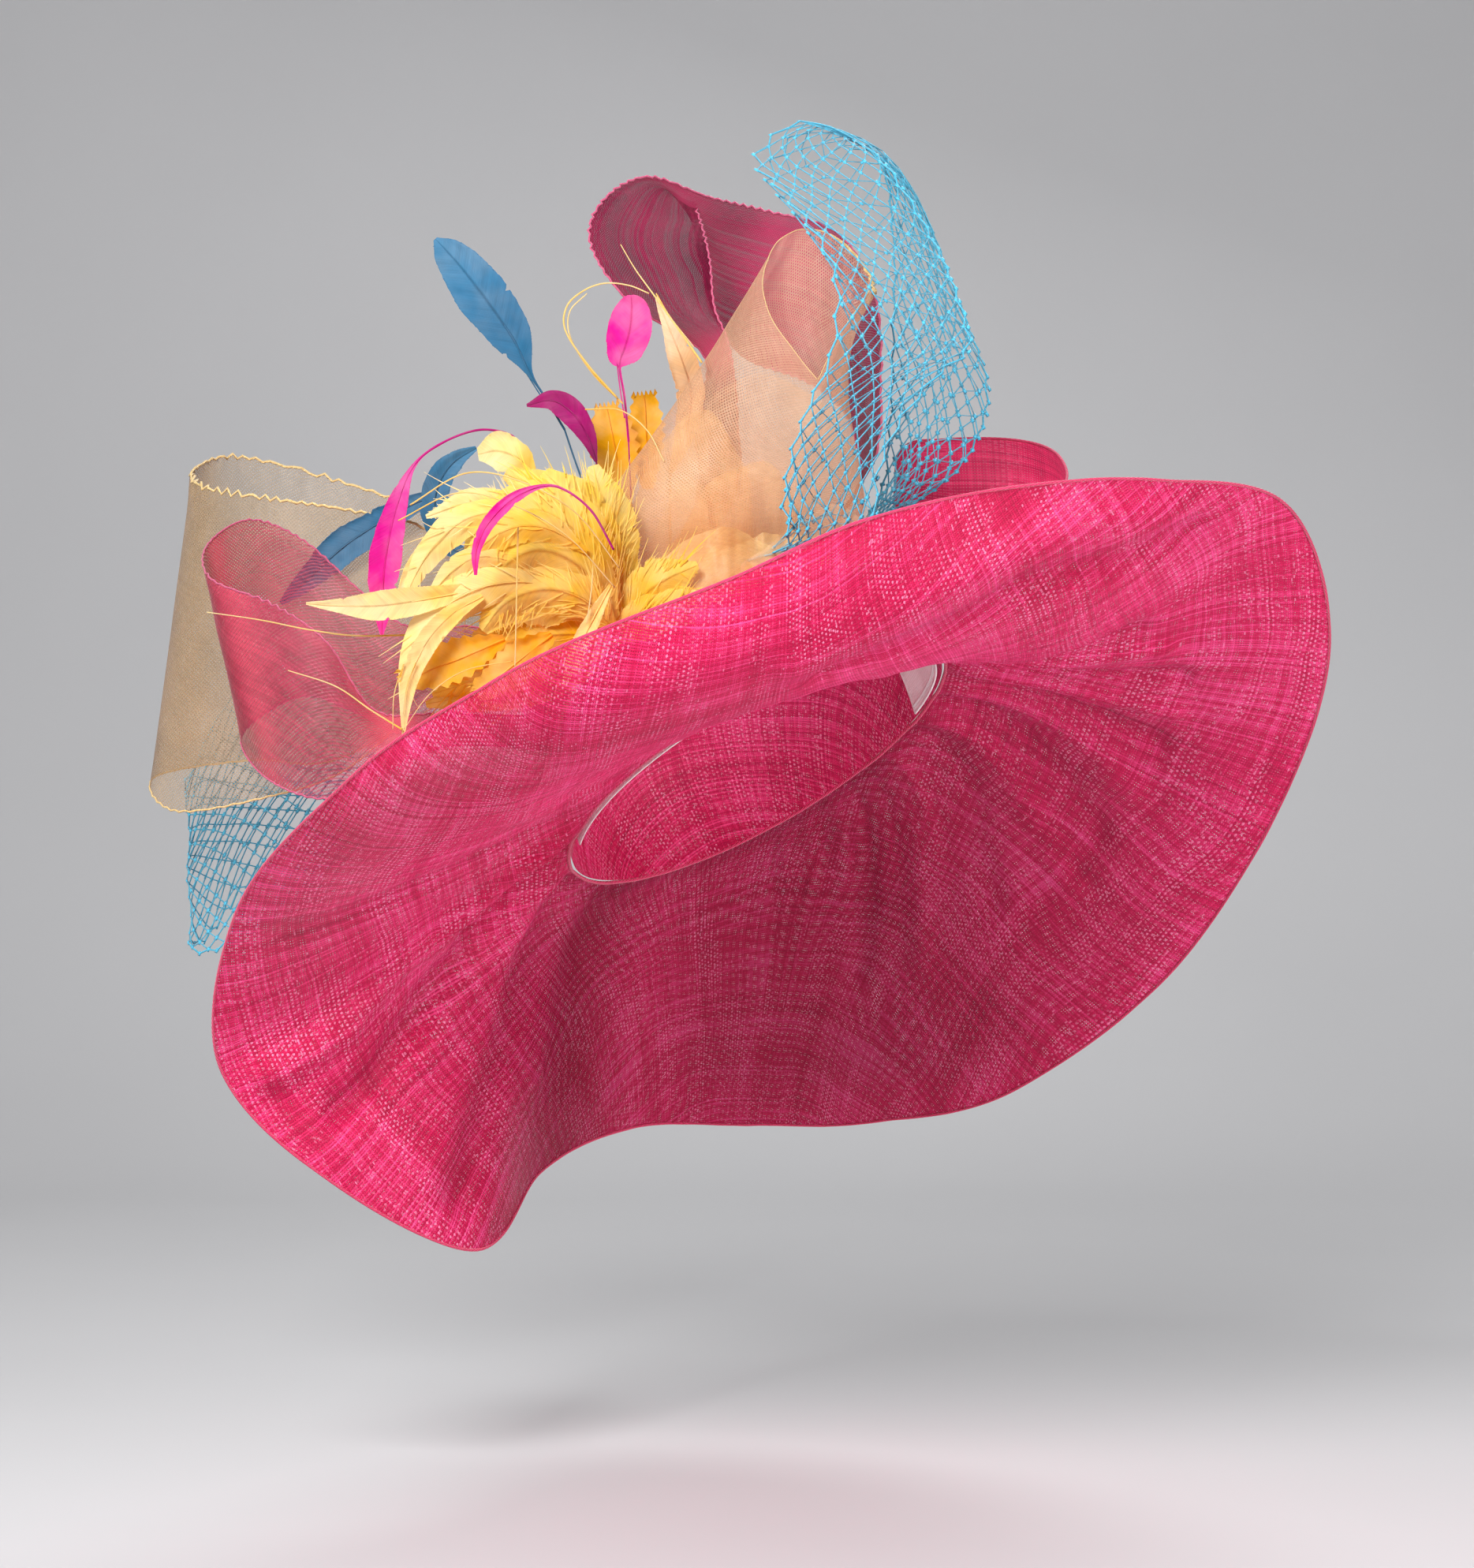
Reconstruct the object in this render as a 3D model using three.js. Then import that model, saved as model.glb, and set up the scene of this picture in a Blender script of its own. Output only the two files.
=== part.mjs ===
// A wide-brimmed sinamay hat as it is worn: a hollow round crown, a broad brim that is rolled up at the
// front and hangs behind, a head strip inside the opening, and on the crown's left front a trimming of
// crinoline loops, netting, a feather flower and single feathers and petals.
//
// Frame: the origin is the middle of the head opening (the seat on the head), +Z up, -Y the side that
// faces the viewer, +X the viewer's right. All sizes are millimetres.
import * as THREE from 'three';
import { mergeVertices } from 'three/addons/utils/BufferGeometryUtils.js';

// ---- driving dimensions --------------------------------------------------------------------------
const OPENING_LONG = 104;      // half the head opening, front to back
const OPENING_WIDE = 92;       // half the head opening, side to side
const OPENING_TURN = -68;      // degrees: where the wearer's front lies in the plan, measured from +X
const CROWN_LEAN = new THREE.Vector3(-0.41, 0.30, 0.86).normalize();  // the crown's axis, tipped left and back
const CROWN_HEIGHT = 92;
const CROWN_WALL = 1.5;
const CROWN_FULLNESS = 3.0;    // the higher, the squarer the dome's shoulder
const CROWN_TAPER = 0.05;
const BRIM_WALL = 1.6;
const BRIM_GAP = 1.6;          // between the crown's outer face and the brim's inner edge
const STRIP_HEIGHT = 38;       // the woven strip inside the head opening
const STRIP_WALL = 1.0;
const STRIP_INSET = 1.2;       // air between the strip and the crown's inner face
const STRIP_FROM = 186, STRIP_TO = 382;   // degrees round the opening
const STRIP_RAKE = 22;         // degrees by which the strip's end is cut back at its top
const LOOP_WALL = 1.2;         // crinoline and netting, a wall over the open mesh
const FEATHER_THICK = 1.2;
const FLOWER = { x: -99, y: -66, z: 92, halfX: 38, halfY: 29, halfZ: 50, petals: 9, depth: 0.07 };

// ---- tables --------------------------------------------------------------------------------------
const table = (names, list) => list.map((line) => Object.fromEntries(names.map((name, k) => [name, line[k]])));

// The brim, a row for each section round the head opening. at: degrees round the opening from +X.
// rim: where the section ends. out1, up1: how far the section leaves the opening outward and upward.
// in2, up2: where it comes from just before the rim, inward of it and above it.
const BRIM = table(['at', 'rimX', 'rimY', 'rimZ', 'out1', 'up1', 'in2', 'up2'], [
  [-94, -17.4, -286, 76.7, 85, -20, -4, -66],
  [-74, 46.2, -278, 104.8, 85, -23, 0, -70],
  [-56, 113, -246, 121.4, 82, -25, 12, -72],
  [-40, 180.8, -198, 128.6, 78, -30, 30, -70],
  [-27, 245.2, -138, 123.8, 74, -24, 46, -48],
  [-12, 279.8, -66, 66, 72, -14, 60, -20],
  [3, 274.3, 12, -5.2, 72, -2, 62, 10],
  [20, 228.3, 95, -101.9, 66, 8, 48, 45],
  [40, 145, 160, -176.9, 58, 5, 34, 75],
  [62, 68.4, 205, -199.5, 55, -5, 36, 82],
  [88, -0.6, 222, -202.9, 55, -12, 40, 82],
  [115, -69.8, 206, -203.2, 54, -18, 30, 82],
  [138, -117.2, 130, -220.2, 50, -24, 14, 90],
  [154, -146, 32, -249.4, 46, -28, 8, 100],
  [168, -210.8, -25, -209.2, 58, -28, 34, 70],
  [184, -263.5, -66, -144.1, 66, -24, 56, 26],
  [198, -246, -125, -68.7, 72, -26, 46, -16],
  [214, -185.6, -200, -7.4, 78, -28, 28, -42],
  [234, -121.4, -252, 32.8, 82, -23, 8, -56],
  [252, -75.8, -272, 54.7, 84, -22, -4, -60],
]);

// Loops of wide ribbon, a row for each station along the ribbon: one edge (a) and the other (b).
const EDGES = ['ax', 'ay', 'az', 'bx', 'by', 'bz'];
const LOOPS = {
  crinoline_loop_left: table(EDGES, [
    [-95.1, 45.5, 25.3, -104.3, 45.5, -3.3],
    [-110.4, 52, 64.9, -110.3, 50, 46.3],
    [-144.4, 66, 96.5, -144.1, 62, 46.6],
    [-174.4, 82, 133, -172.2, 76, 30.4],
    [-222.4, 96, 153, -226.1, 92, 3.4],
    [-276.2, 92, 165.7, -268.5, 88, 3.8],
    [-294.7, 62, 155.9, -315, 60, -5.1],
    [-283.6, 32, 144.3, -299.6, 30, -22.6],
    [-246.2, 20, 137.2, -249.7, 16, -15.3],
    [-208.2, 20, 131.5, -209.4, 16, -1.1],
    [-169.3, 24, 121.7, -165.3, 20, 37.3],
    [-133.4, 26, 82.1, -133.2, 24, 53.6],
    [-93.8, 32, 36.4, -106.3, 27.5, 10],
  ]),
  ribbon_loop_left: table(EDGES, [
    [-95.4, 18.3, 37.9, -105.6, 8.3, 14.5],
    [-131.9, 4, 69, -131.7, 2, 34.8],
    [-175.8, 2, 70.9, -175.6, 0, 16.8],
    [-200.4, 4, 88.6, -201.8, 2, 26.8],
    [-229.9, 6, 114.8, -225.8, 2, 36],
    [-257.2, 0, 125.2, -246, -6, 28.7],
    [-275.5, -22, 110.5, -257.6, -26, 14.1],
    [-269.6, -46, 92.5, -245.9, -48, -2.6],
    [-237.5, -62, 79.3, -225.3, -64, -13.4],
    [-210, -66, 60.2, -205.7, -70, -15],
    [-187.3, -62, 27.5, -179, -68, -1.5],
    [-155.3, -52, 25.8, -149.3, -54, 10.2],
    [-100.5, -8.4, 25.1, -100.1, -21.7, 7.8],
  ]),
  ribbon_loop_top: table(EDGES, [
    [-76.2, 30.2, 57.5, -69.2, 53.9, 52.6],
    [-31.9, 22, 134.5, -13.7, 24, 134.7],
    [-31.8, 14, 174.2, -9.6, 10, 175.8],
    [-26.5, 8, 209, -13.6, 2, 213],
    [-63.2, -14, 232.9, -21.2, 2, 233.1],
    [-83.3, -18, 262.1, -23.7, 8, 258],
    [-77.7, -8, 285.5, -28.6, 24, 280.6],
    [-55.4, 8, 300.6, -33, 46, 291.5],
    [-23.8, 30, 293.8, -24.1, 64, 244.7],
    [6.8, 44, 288.7, -7.5, 72, 217.5],
    [41.7, 46, 278.4, 23.6, 66, 204.3],
    [61.3, 44, 246.9, 42, 58, 191],
    [64.6, 34, 200.7, 51.9, 44, 169],
    [57.4, 26, 151.1, 47.5, 34, 135.5],
    [2.9, 57.6, 80.7, -22.3, 74.5, 64.1],
  ]),
  sinamay_loop: table(EDGES, [
    [54.5, 40.5, 79.5, 71.3, 39.8, 63.2],
    [71, 60, 127.2, 75.1, 60, 94.1],
    [77.1, 84, 167.9, 84.2, 76, 117.9],
    [102.2, 98, 175.5, 110.1, 90, 123.1],
    [139.7, 92, 174.5, 143.2, 84, 131],
    [158.3, 66, 164.9, 161.9, 60, 129.3],
    [160.1, 40, 147.4, 157.7, 36, 115.2],
    [134.1, 22, 140.6, 129.9, 20, 102],
    [101.4, 16, 126, 95.3, 16, 89.7],
    [56.6, 13.2, 92.7, 75.8, 7.8, 79.1],
  ]),
  veil_top: table(EDGES, [
    [-8.4, -47.9, 100.2, 21.2, -27.5, 107.3],
    [12.2, -78, 107.5, 56.2, -58, 117.4],
    [10.3, -80, 126.5, 61.5, -52, 144.2],
    [15.2, -80, 151.4, 74.2, -46, 172.1],
    [24, -80, 175.4, 94.4, -34, 196.8],
    [35.2, -76, 203.4, 108.9, -22, 210.1],
    [34.7, -68, 242.9, 101.5, -14, 238.9],
    [11.9, -40, 282.2, 88.9, 10, 272.4],
    [-3.6, -14, 306.3, 69.4, 24, 308.2],
    [23.2, 20, 331.7, 56, 46, 323.9],
    [62.3, 48, 317.3, 84, 64, 300.6],
    [71.3, 66, 279, 111.2, 74, 237.3],
    [71.5, 72, 230, 123.8, 70, 196.5],
    [69, 62, 179.1, 110, 56, 159.9],
    [61.2, 42, 136.1, 76.4, 42, 132],
    [21.3, 40.5, 90.7, 28.2, 26.4, 96.5],
  ]),
  veil_left: table(EDGES, [
    [-89.2, 75.5, 6.6, -90.7, 78, -17.2],
    [-125.9, 104, 64.8, -125.9, 104, 41.6],
    [-170.4, 130, 70.1, -170.4, 130, 18.6],
    [-223.6, 146, 62.1, -228.2, 148, -20.1],
    [-271.5, 148, 53.5, -276.1, 150, -63.4],
    [-296.3, 140, 25.3, -300, 142, -95.5],
    [-307.6, 124, -9.2, -307, 126, -95.3],
    [-300.3, 110, 5.6, -295.5, 112, -101.4],
    [-261.6, 106, 31, -265.8, 106, -87.6],
    [-223.7, 108, 39.5, -223.7, 108, -53.7],
  ]),
};

// The standing cornet of pale crinoline, a row for each level from the mouth down: its left and right
// outline, the depth of its middle, half its depth and how much higher its back stands.
const CORNET = table(['leftX', 'leftZ', 'rightX', 'rightZ', 'midY', 'halfY', 'backUp'], [
  [5.4, 253.6, 59.9, 237, -22, 14, 25],
  [-11.6, 227.2, 48.4, 211.4, -24, 20, 14],
  [-26.2, 203.7, 46, 189.9, -26, 24, 6],
  [-51.7, 166.8, 49.1, 166.8, -28, 30, 2],
  [-71.4, 138.5, 52.2, 146.3, -28, 34, 0],
  [-81.7, 113, 52.3, 126.8, -26, 32, 0],
  [-68.4, 96.2, 38.2, 115.1, -24, 24, 0],
]);
const CORNET_DIP = 2.1;        // rows by which the mouth is cut lower at the front
const CORNET_DIP_AT = -55;     // where round the mouth it is cut lowest, in degrees
const CORNET_DIP_LEFT = 125;   // how far round the cut reaches on each side of that
const CORNET_DIP_RIGHT = 28;
const CORNET_DIP_SHARPNESS = 1.2;

// Feathers and petals, a row for each station from the quill to the tip, with half the width there.
const VANES = ['x', 'y', 'z', 'half'];
const FEATHERS = {
  feather_blue_tall: table(VANES, [
    [-96.4, -16, 169.2, 0.6],
    [-105.4, -12, 184.3, 0.6],
    [-114.3, -8, 198.3, 1.6],
    [-122.3, -8, 215, 9.6],
    [-134.2, -8, 232.5, 13.1],
    [-147.1, -6, 249.5, 11.6],
    [-156.9, -4, 261, 7.2],
    [-162.5, -4, 267, 1.2],
  ]),
  feather_blue_left: table(VANES, [
    [-152.5, 12, 133.7, 0.8],
    [-166.6, 12, 137, 3.6],
    [-184.8, 12, 128.9, 6.4],
    [-208.9, 12, 113.6, 8.9],
    [-227, 12, 97.5, 6.4],
    [-242.7, 12, 83.4, 1.2],
  ]),
  feather_blue_curl: table(VANES, [
    [-141.1, -12, 107.2, 0.8],
    [-153, -12, 109.6, 4.4],
    [-160.2, -12, 120.7, 6.4],
    [-162.2, -12, 133, 7.2],
    [-159.4, -12, 144.6, 6.8],
    [-151.8, -12, 154.1, 4.8],
    [-141.1, -12, 160.5, 1.2],
  ]),
  feather_magenta: table(VANES, [
    [-117.5, -34, 156.8, 0.6],
    [-122.1, -36, 164.5, 0.6],
    [-137.4, -42, 166.6, 0.6],
    [-155.6, -48, 159.4, 0.6],
    [-169.3, -52, 147.4, 1.2],
    [-178, -54, 124.7, 5.8],
    [-182.8, -56, 99.3, 8.1],
    [-184, -56, 78, 4.7],
    [-184.4, -56, 64.4, 0.8],
  ]),
  feather_pink_curved: table(VANES, [
    [-68.2, -120, 102.1, 0.5],
    [-78.4, -126, 119.9, 0.6],
    [-91.7, -129, 130.1, 0.6],
    [-102.8, -130, 131.1, 1.1],
    [-116.1, -130, 124.8, 3],
    [-126.9, -130, 113.7, 3.3],
    [-132.5, -130, 101, 2.2],
    [-132.8, -130, 89.5, 0.7],
  ]),
  feather_pink_oval: table(VANES, [
    [-64.1, -22, 162.7, 0.6],
    [-66.1, -22, 184.4, 0.6],
    [-68.5, -22, 200.6, 2],
    [-65.7, -22, 210.1, 8.7],
    [-63.3, -22, 219.2, 11.1],
    [-62.5, -22, 229.1, 8.7],
    [-62.9, -22, 236.2, 1.6],
  ]),
  feather_purple: table(VANES, [
    [-80.2, -26, 152.4, 0.8],
    [-84.5, -26, 165.1, 4.3],
    [-92, -26, 176.5, 6.7],
    [-102.2, -26, 182.8, 5.1],
    [-114.9, -26, 180.4, 0.8],
  ]),
  feather_peach: table(VANES, [
    [-43.6, 2.5, 149, 1.2],
    [-36.4, 3, 169.1, 5.2],
    [-33.1, -5, 188.3, 7.2],
    [-37, -15, 203, 7.1],
    [-44, -21, 220.1, 3.6],
    [-50.3, -23, 235.2, 0.6],
  ]),
  petal_gold_left: table(VANES, [
    [-66.9, 2, 133, 3.2],
    [-69.7, 2, 149, 11.2],
    [-72.5, 2, 165, 13.6],
    [-75.3, 2, 179, 8.8],
    [-76.5, 2, 185.8, 2],
  ]),
  petal_gold_right: table(VANES, [
    [-55, 6, 141.3, 3.2],
    [-55.8, 6, 157.4, 8.8],
    [-56.2, 6, 171.4, 10.4],
    [-56.6, 6, 183.4, 8],
    [-57.4, 6, 191.9, 2],
  ]),
  petal_pale_round: table(VANES, [
    [-110.3, -50, 145.2, 2.3],
    [-118.4, -52, 152, 7.8],
    [-128.1, -52, 155.1, 9.3],
    [-137.4, -52, 153.6, 3.1],
  ]),
  feather_horn_left: table(VANES, [
    [-126.1, -92, 86.8, 1.5],
    [-151.6, -96, 81.3, 5.3],
    [-179.4, -98, 76.7, 7.2],
    [-200.4, -100, 76.6, 3.4],
    [-216, -102, 77.6, 0.6],
  ]),
  feather_horn_down: table(VANES, [
    [-131.8, -98, 81.2, 1.5],
    [-145.5, -102, 72.7, 4.5],
    [-158.4, -105, 57.9, 5.3],
    [-166.6, -106, 38.6, 4.1],
    [-169, -108, 14.5, 0.6],
  ]),
  feather_pale_outer: table(VANES, [
    [-129.7, -74, 123.1, 1.2],
    [-143.7, -76, 119.9, 3.4],
    [-158.7, -80, 107.4, 4.2],
    [-168.6, -84, 90, 3.8],
    [-174.5, -86, 71.6, 0.8],
  ]),
  feather_diagonal: table(VANES, [
    [-70.1, -100, 86.4, 1.1],
    [-78.6, -104, 70, 3.8],
    [-86.7, -108, 52.9, 3.8],
    [-92.2, -110, 37.8, 1.1],
  ]),
  petal_toothed_lower: table(VANES, [
    [-121.6, -92, 61, 3],
    [-140.6, -92, 52.7, 10.6],
    [-157.6, -92, 45.9, 10.6],
    [-172.8, -92, 39, 2.3],
  ]),
  petal_toothed_right: table(VANES, [
    [-98.3, -101, 62.6, 3],
    [-111.4, -103, 52.3, 9.8],
    [-124.5, -105, 41.7, 8.3],
    [-135.6, -107, 32.2, 1.5],
  ]),
};

// ---- geometry ------------------------------------------------------------------------------------
const rad = (deg) => (deg * Math.PI) / 180;

// a point of the tipped head opening
function opening(deg, grow = 0) {
  const a = rad(deg), b = rad(deg - OPENING_TURN);
  const r = grow + 1 / Math.hypot(Math.cos(b) / OPENING_LONG, Math.sin(b) / OPENING_WIDE);
  const x = r * Math.cos(a), y = r * Math.sin(a);
  return new THREE.Vector3(x, y, -(CROWN_LEAN.x * x + CROWN_LEAN.y * y) / CROWN_LEAN.z);
}

// a column of a table read at any angle, smooth and closed round 360 degrees
function around(rows, name, deg) {
  const n = rows.length, first = rows[0].at;
  const d = ((((deg - first) % 360) + 360) % 360) + first;
  let i = n - 1;
  for (let k = 0; k < n - 1; k++) if (rows[k].at <= d && d < rows[k + 1].at) { i = k; break; }
  const at = (j) => rows[((j % n) + n) % n].at + 360 * Math.floor(j / n);
  const val = (j) => rows[((j % n) + n) % n][name];
  const [x0, x1, x2, x3] = [at(i - 1), at(i), at(i + 1), at(i + 2)];
  const [v0, v1, v2, v3] = [val(i - 1), val(i), val(i + 1), val(i + 2)];
  const h = x2 - x1, t = (d - x1) / h;
  const m1 = (((v1 - v0) / (x1 - x0)) * (x2 - x1) + ((v2 - v1) / (x2 - x1)) * (x1 - x0)) / (x2 - x0);
  const m2 = (((v2 - v1) / (x2 - x1)) * (x3 - x2) + ((v3 - v2) / (x3 - x2)) * (x2 - x1)) / (x3 - x1);
  return (2 * t ** 3 - 3 * t * t + 1) * v1 + (t ** 3 - 2 * t * t + t) * h * m1
    + (-2 * t ** 3 + 3 * t * t) * v2 + (t ** 3 - t * t) * h * m2;
}

// a column of a table read between its rows, through every row
function along(rows, name, u) {
  const n = rows.length, i = Math.min(Math.max(Math.floor(u), 0), n - 2), t = u - i;
  const v = (j) => (j < 0 ? 2 * rows[0][name] - rows[1][name]
    : j >= n ? 2 * rows[n - 1][name] - rows[n - 2][name] : rows[j][name]);
  const [a, b, c, d] = [v(i - 1), v(i), v(i + 1), v(i + 2)];
  return 0.5 * (2 * b + (c - a) * t + (2 * a - 5 * b + 4 * c - d) * t * t + (3 * b - a - 3 * c + d) * t ** 3);
}

function closedBody(points, triangles, from) {
  let volume = 0;
  for (const [a, b, c] of triangles) volume += points[a].dot(new THREE.Vector3().crossVectors(points[b], points[c]));
  const index = triangles.flatMap(([a, b, c]) => (volume < 0 ? [a, c, b] : [a, b, c]));
  const geometry = new THREE.BufferGeometry();
  geometry.setAttribute('position', new THREE.Float32BufferAttribute(points.flatMap((p) => [p.x - from.x, p.y - from.y, p.z - from.z]), 3));
  geometry.setIndex(index);
  geometry.computeVertexNormals();
  return geometry;
}

// A wall on a grid of points: each point moves out along the surface by `outer` and back by `inner`.
// ring: the grid closes on itself along its first index. domed: its last row closes in a point.
function wall(grid, outer, inner, { ring = false, domed = false, from = new THREE.Vector3() } = {}) {
  const nu = grid.length, nv = grid[0].length, points = [], triangles = [];
  const get = (i, j) => grid[ring ? ((i % nu) + nu) % nu : Math.min(Math.max(i, 0), nu - 1)][Math.min(Math.max(j, 0), nv - 1)];
  for (let i = 0; i < nu; i++) for (let j = 0; j < nv; j++) {
    const du = get(i + 1, j).clone().sub(get(i - 1, j)), dv = get(i, j + 1).clone().sub(get(i, j - 1));
    const n = du.cross(dv).normalize();
    points.push(grid[i][j].clone().addScaledVector(n, outer), grid[i][j].clone().addScaledVector(n, -inner));
  }
  const A = (i, j) => 2 * ((ring ? i % nu : i) * nv + j), B = (i, j) => A(i, j) + 1;
  const quad = (a, b, c, d) => triangles.push([a, b, c], [a, c, d]);
  const columns = ring ? nu : nu - 1;
  for (let i = 0; i < columns; i++) {
    for (let j = 0; j < nv - 1; j++) {
      quad(A(i, j), A(i + 1, j), A(i + 1, j + 1), A(i, j + 1));
      quad(B(i, j), B(i, j + 1), B(i + 1, j + 1), B(i + 1, j));
    }
    quad(A(i, 0), B(i, 0), B(i + 1, 0), A(i + 1, 0));
    if (!domed) quad(A(i, nv - 1), A(i + 1, nv - 1), B(i + 1, nv - 1), B(i, nv - 1));
  }
  if (!ring) for (let j = 0; j < nv - 1; j++) {
    quad(A(0, j), A(0, j + 1), B(0, j + 1), B(0, j));
    quad(A(nu - 1, j), B(nu - 1, j), B(nu - 1, j + 1), A(nu - 1, j + 1));
  }
  if (domed) {
    const topOf = (F) => {
      const mid = new THREE.Vector3();
      for (let i = 0; i < nu; i++) mid.addScaledVector(points[F(i, nv - 1)], 1 / nu);
      points.push(mid);
      return points.length - 1;
    };
    const a = topOf(A), b = topOf(B);
    for (let i = 0; i < nu; i++) {
      triangles.push([A(i, nv - 1), A(i + 1, nv - 1), a], [B(i, nv - 1), b, B(i + 1, nv - 1)]);
    }
  }
  return closedBody(points, triangles, from);
}

function brimGrid(sections, steps) {
  const grid = [];
  for (let i = 0; i < sections; i++) {
    const deg = BRIM[0].at + (360 * i) / sections;
    const p0 = opening(deg, BRIM_GAP), c = Math.cos(rad(deg)), s = Math.sin(rad(deg));
    const g = Object.fromEntries(['rimX', 'rimY', 'rimZ', 'out1', 'up1', 'in2', 'up2'].map((k) => [k, around(BRIM, k, deg)]));
    const p3 = new THREE.Vector3(g.rimX, g.rimY, g.rimZ);
    const p1 = new THREE.Vector3(p0.x + c * g.out1, p0.y + s * g.out1, p0.z + g.up1);
    const h = new THREE.Vector2(p3.x - p0.x, p3.y - p0.y).normalize();
    const p2 = new THREE.Vector3(p3.x - h.x * g.in2, p3.y - h.y * g.in2, p3.z + g.up2);
    const curve = new THREE.CubicBezierCurve3(p0, p1, p2, p3);
    grid.push(Array.from({ length: steps + 1 }, (_, j) => curve.getPoint(j / steps)));
  }
  return grid;
}

const domeScale = (h) => Math.sqrt(1 - (h / CROWN_HEIGHT) ** CROWN_FULLNESS) * (1 - (CROWN_TAPER * h) / CROWN_HEIGHT);

function crownGrid(around360, levels) {
  return Array.from({ length: around360 }, (_, i) => {
    const p0 = opening((360 * i) / around360);
    return Array.from({ length: levels + 1 }, (_, j) => {
      const h = CROWN_HEIGHT * Math.sin((j / levels) * 0.97 * Math.PI / 2);
      return p0.clone().multiplyScalar(domeScale(h)).addScaledVector(CROWN_LEAN, h);
    });
  });
}

// the head strip follows the crown's inner face; its last end is cut back towards the top
function stripGrid(steps, levels) {
  const inset = CROWN_WALL + STRIP_INSET + STRIP_WALL / 2;
  return Array.from({ length: steps + 1 }, (_, i) => Array.from({ length: levels + 1 }, (_, j) => {
    const v = j / levels, h = STRIP_HEIGHT * v + 0.6;
    const end = STRIP_TO + STRIP_RAKE * v, deg = STRIP_FROM + ((end - STRIP_FROM) * i) / steps;
    return opening(deg, -inset).multiplyScalar(domeScale(h)).addScaledVector(CROWN_LEAN, h);
  }));
}

function ribbonGrid(rows, steps, across) {
  return Array.from({ length: steps + 1 }, (_, i) => {
    const u = ((rows.length - 1) * i) / steps;
    const [ax, ay, az, bx, by, bz] = EDGES.map((k) => along(rows, k, u));
    const a = new THREE.Vector3(ax, ay, az), b = new THREE.Vector3(bx, by, bz);
    return Array.from({ length: across + 1 }, (_, j) => a.clone().lerp(b, j / across));
  });
}

function cornetGrid(around360, levels) {
  const last = CORNET.length - 1;
  return Array.from({ length: around360 }, (_, i) => {
    const deg = (360 * i) / around360, th = rad(deg), off = ((deg - CORNET_DIP_AT + 180) % 360) - 180;
    const near = 1 - Math.abs(off) / (off < 0 ? CORNET_DIP_LEFT : CORNET_DIP_RIGHT);
    const top = CORNET_DIP * Math.max(0, near) ** CORNET_DIP_SHARPNESS;
    return Array.from({ length: levels + 1 }, (_, j) => {
      const u = top + ((last - top) * j) / levels;
      const g = Object.fromEntries(Object.keys(CORNET[0]).map((k) => [k, along(CORNET, k, u)]));
      return new THREE.Vector3(
        (g.leftX + g.rightX) / 2 + ((g.rightX - g.leftX) / 2) * Math.cos(th),
        g.midY + g.halfY * Math.sin(th),
        (g.leftZ + g.rightZ) / 2 + ((g.rightZ - g.leftZ) / 2) * Math.cos(th) + g.backUp * Math.max(0, Math.sin(th)) ** 1.3);
    });
  });
}

// a feather or petal: a thin vane, thickest along its quill
function vane(rows, steps, thick) {
  const from = new THREE.Vector3(rows[0].x, rows[0].y, rows[0].z), points = [], triangles = [];
  const spot = (u) => new THREE.Vector3(along(rows, 'x', u), along(rows, 'y', u), along(rows, 'z', u));
  for (let i = 0; i <= steps; i++) {
    const u = ((rows.length - 1) * i) / steps, p = spot(u);
    const t = spot(Math.min(u + 0.05, rows.length - 1)).sub(spot(Math.max(u - 0.05, 0))).normalize();
    const side = new THREE.Vector3(0, 1, 0).cross(t).normalize(), face = t.clone().cross(side).normalize();
    const w = Math.max(0.5, along(rows, 'half', u));
    points.push(p.clone().addScaledVector(side, w), p.clone().addScaledVector(face, thick / 2),
      p.clone().addScaledVector(side, -w), p.clone().addScaledVector(face, -thick / 2));
  }
  for (let i = 0; i < steps; i++) for (let k = 0; k < 4; k++) {
    const a = 4 * i + k, b = 4 * i + ((k + 1) % 4);
    triangles.push([a, b, b + 4], [a, b + 4, a + 4]);
  }
  const e = 4 * steps;
  triangles.push([0, 2, 1], [0, 3, 2], [e, e + 1, e + 2], [e, e + 2, e + 3]);
  return { geometry: closedBody(points, triangles, from), from };
}

// the feather flower's outer form: a rounded head, lobed like its petals
function flowerGeometry() {
  const ball = new THREE.SphereGeometry(1, 22, 14);
  ball.deleteAttribute('normal');
  ball.deleteAttribute('uv');
  const geometry = mergeVertices(ball), p = geometry.attributes.position;
  for (let i = 0; i < p.count; i++) {
    const x = p.getX(i), y = p.getY(i), z = p.getZ(i);
    const lobe = 1 - FLOWER.depth * (0.5 - 0.5 * Math.cos(FLOWER.petals * Math.atan2(z, x))) * Math.hypot(x, z);
    p.setXYZ(i, x * FLOWER.halfX * lobe, y * FLOWER.halfY * lobe, z * FLOWER.halfZ * lobe);
  }
  geometry.computeVertexNormals();
  return geometry;
}

// ---- the hat -------------------------------------------------------------------------------------
const matt = (color, roughness, metalness = 0) => new THREE.MeshStandardMaterial({ color, roughness, metalness });
const MATERIALS = {
  sinamay: matt(0xd4215f, 0.55), loopSinamay: matt(0xc2264f, 0.6), strip: matt(0xd9cfd2, 0.8),
  magenta: matt(0xc63a74, 0.45), peach: matt(0xdcae8c, 0.45), net: matt(0x4cc3e0, 0.5),
  yellow: matt(0xf0bf58, 0.8), cream: matt(0xf2dc96, 0.8), gold: matt(0xe39a2b, 0.75),
  blue: matt(0x2f7fae, 0.7), pink: matt(0xf0419a, 0.7), purple: matt(0x8f1550, 0.7),
};

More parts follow.
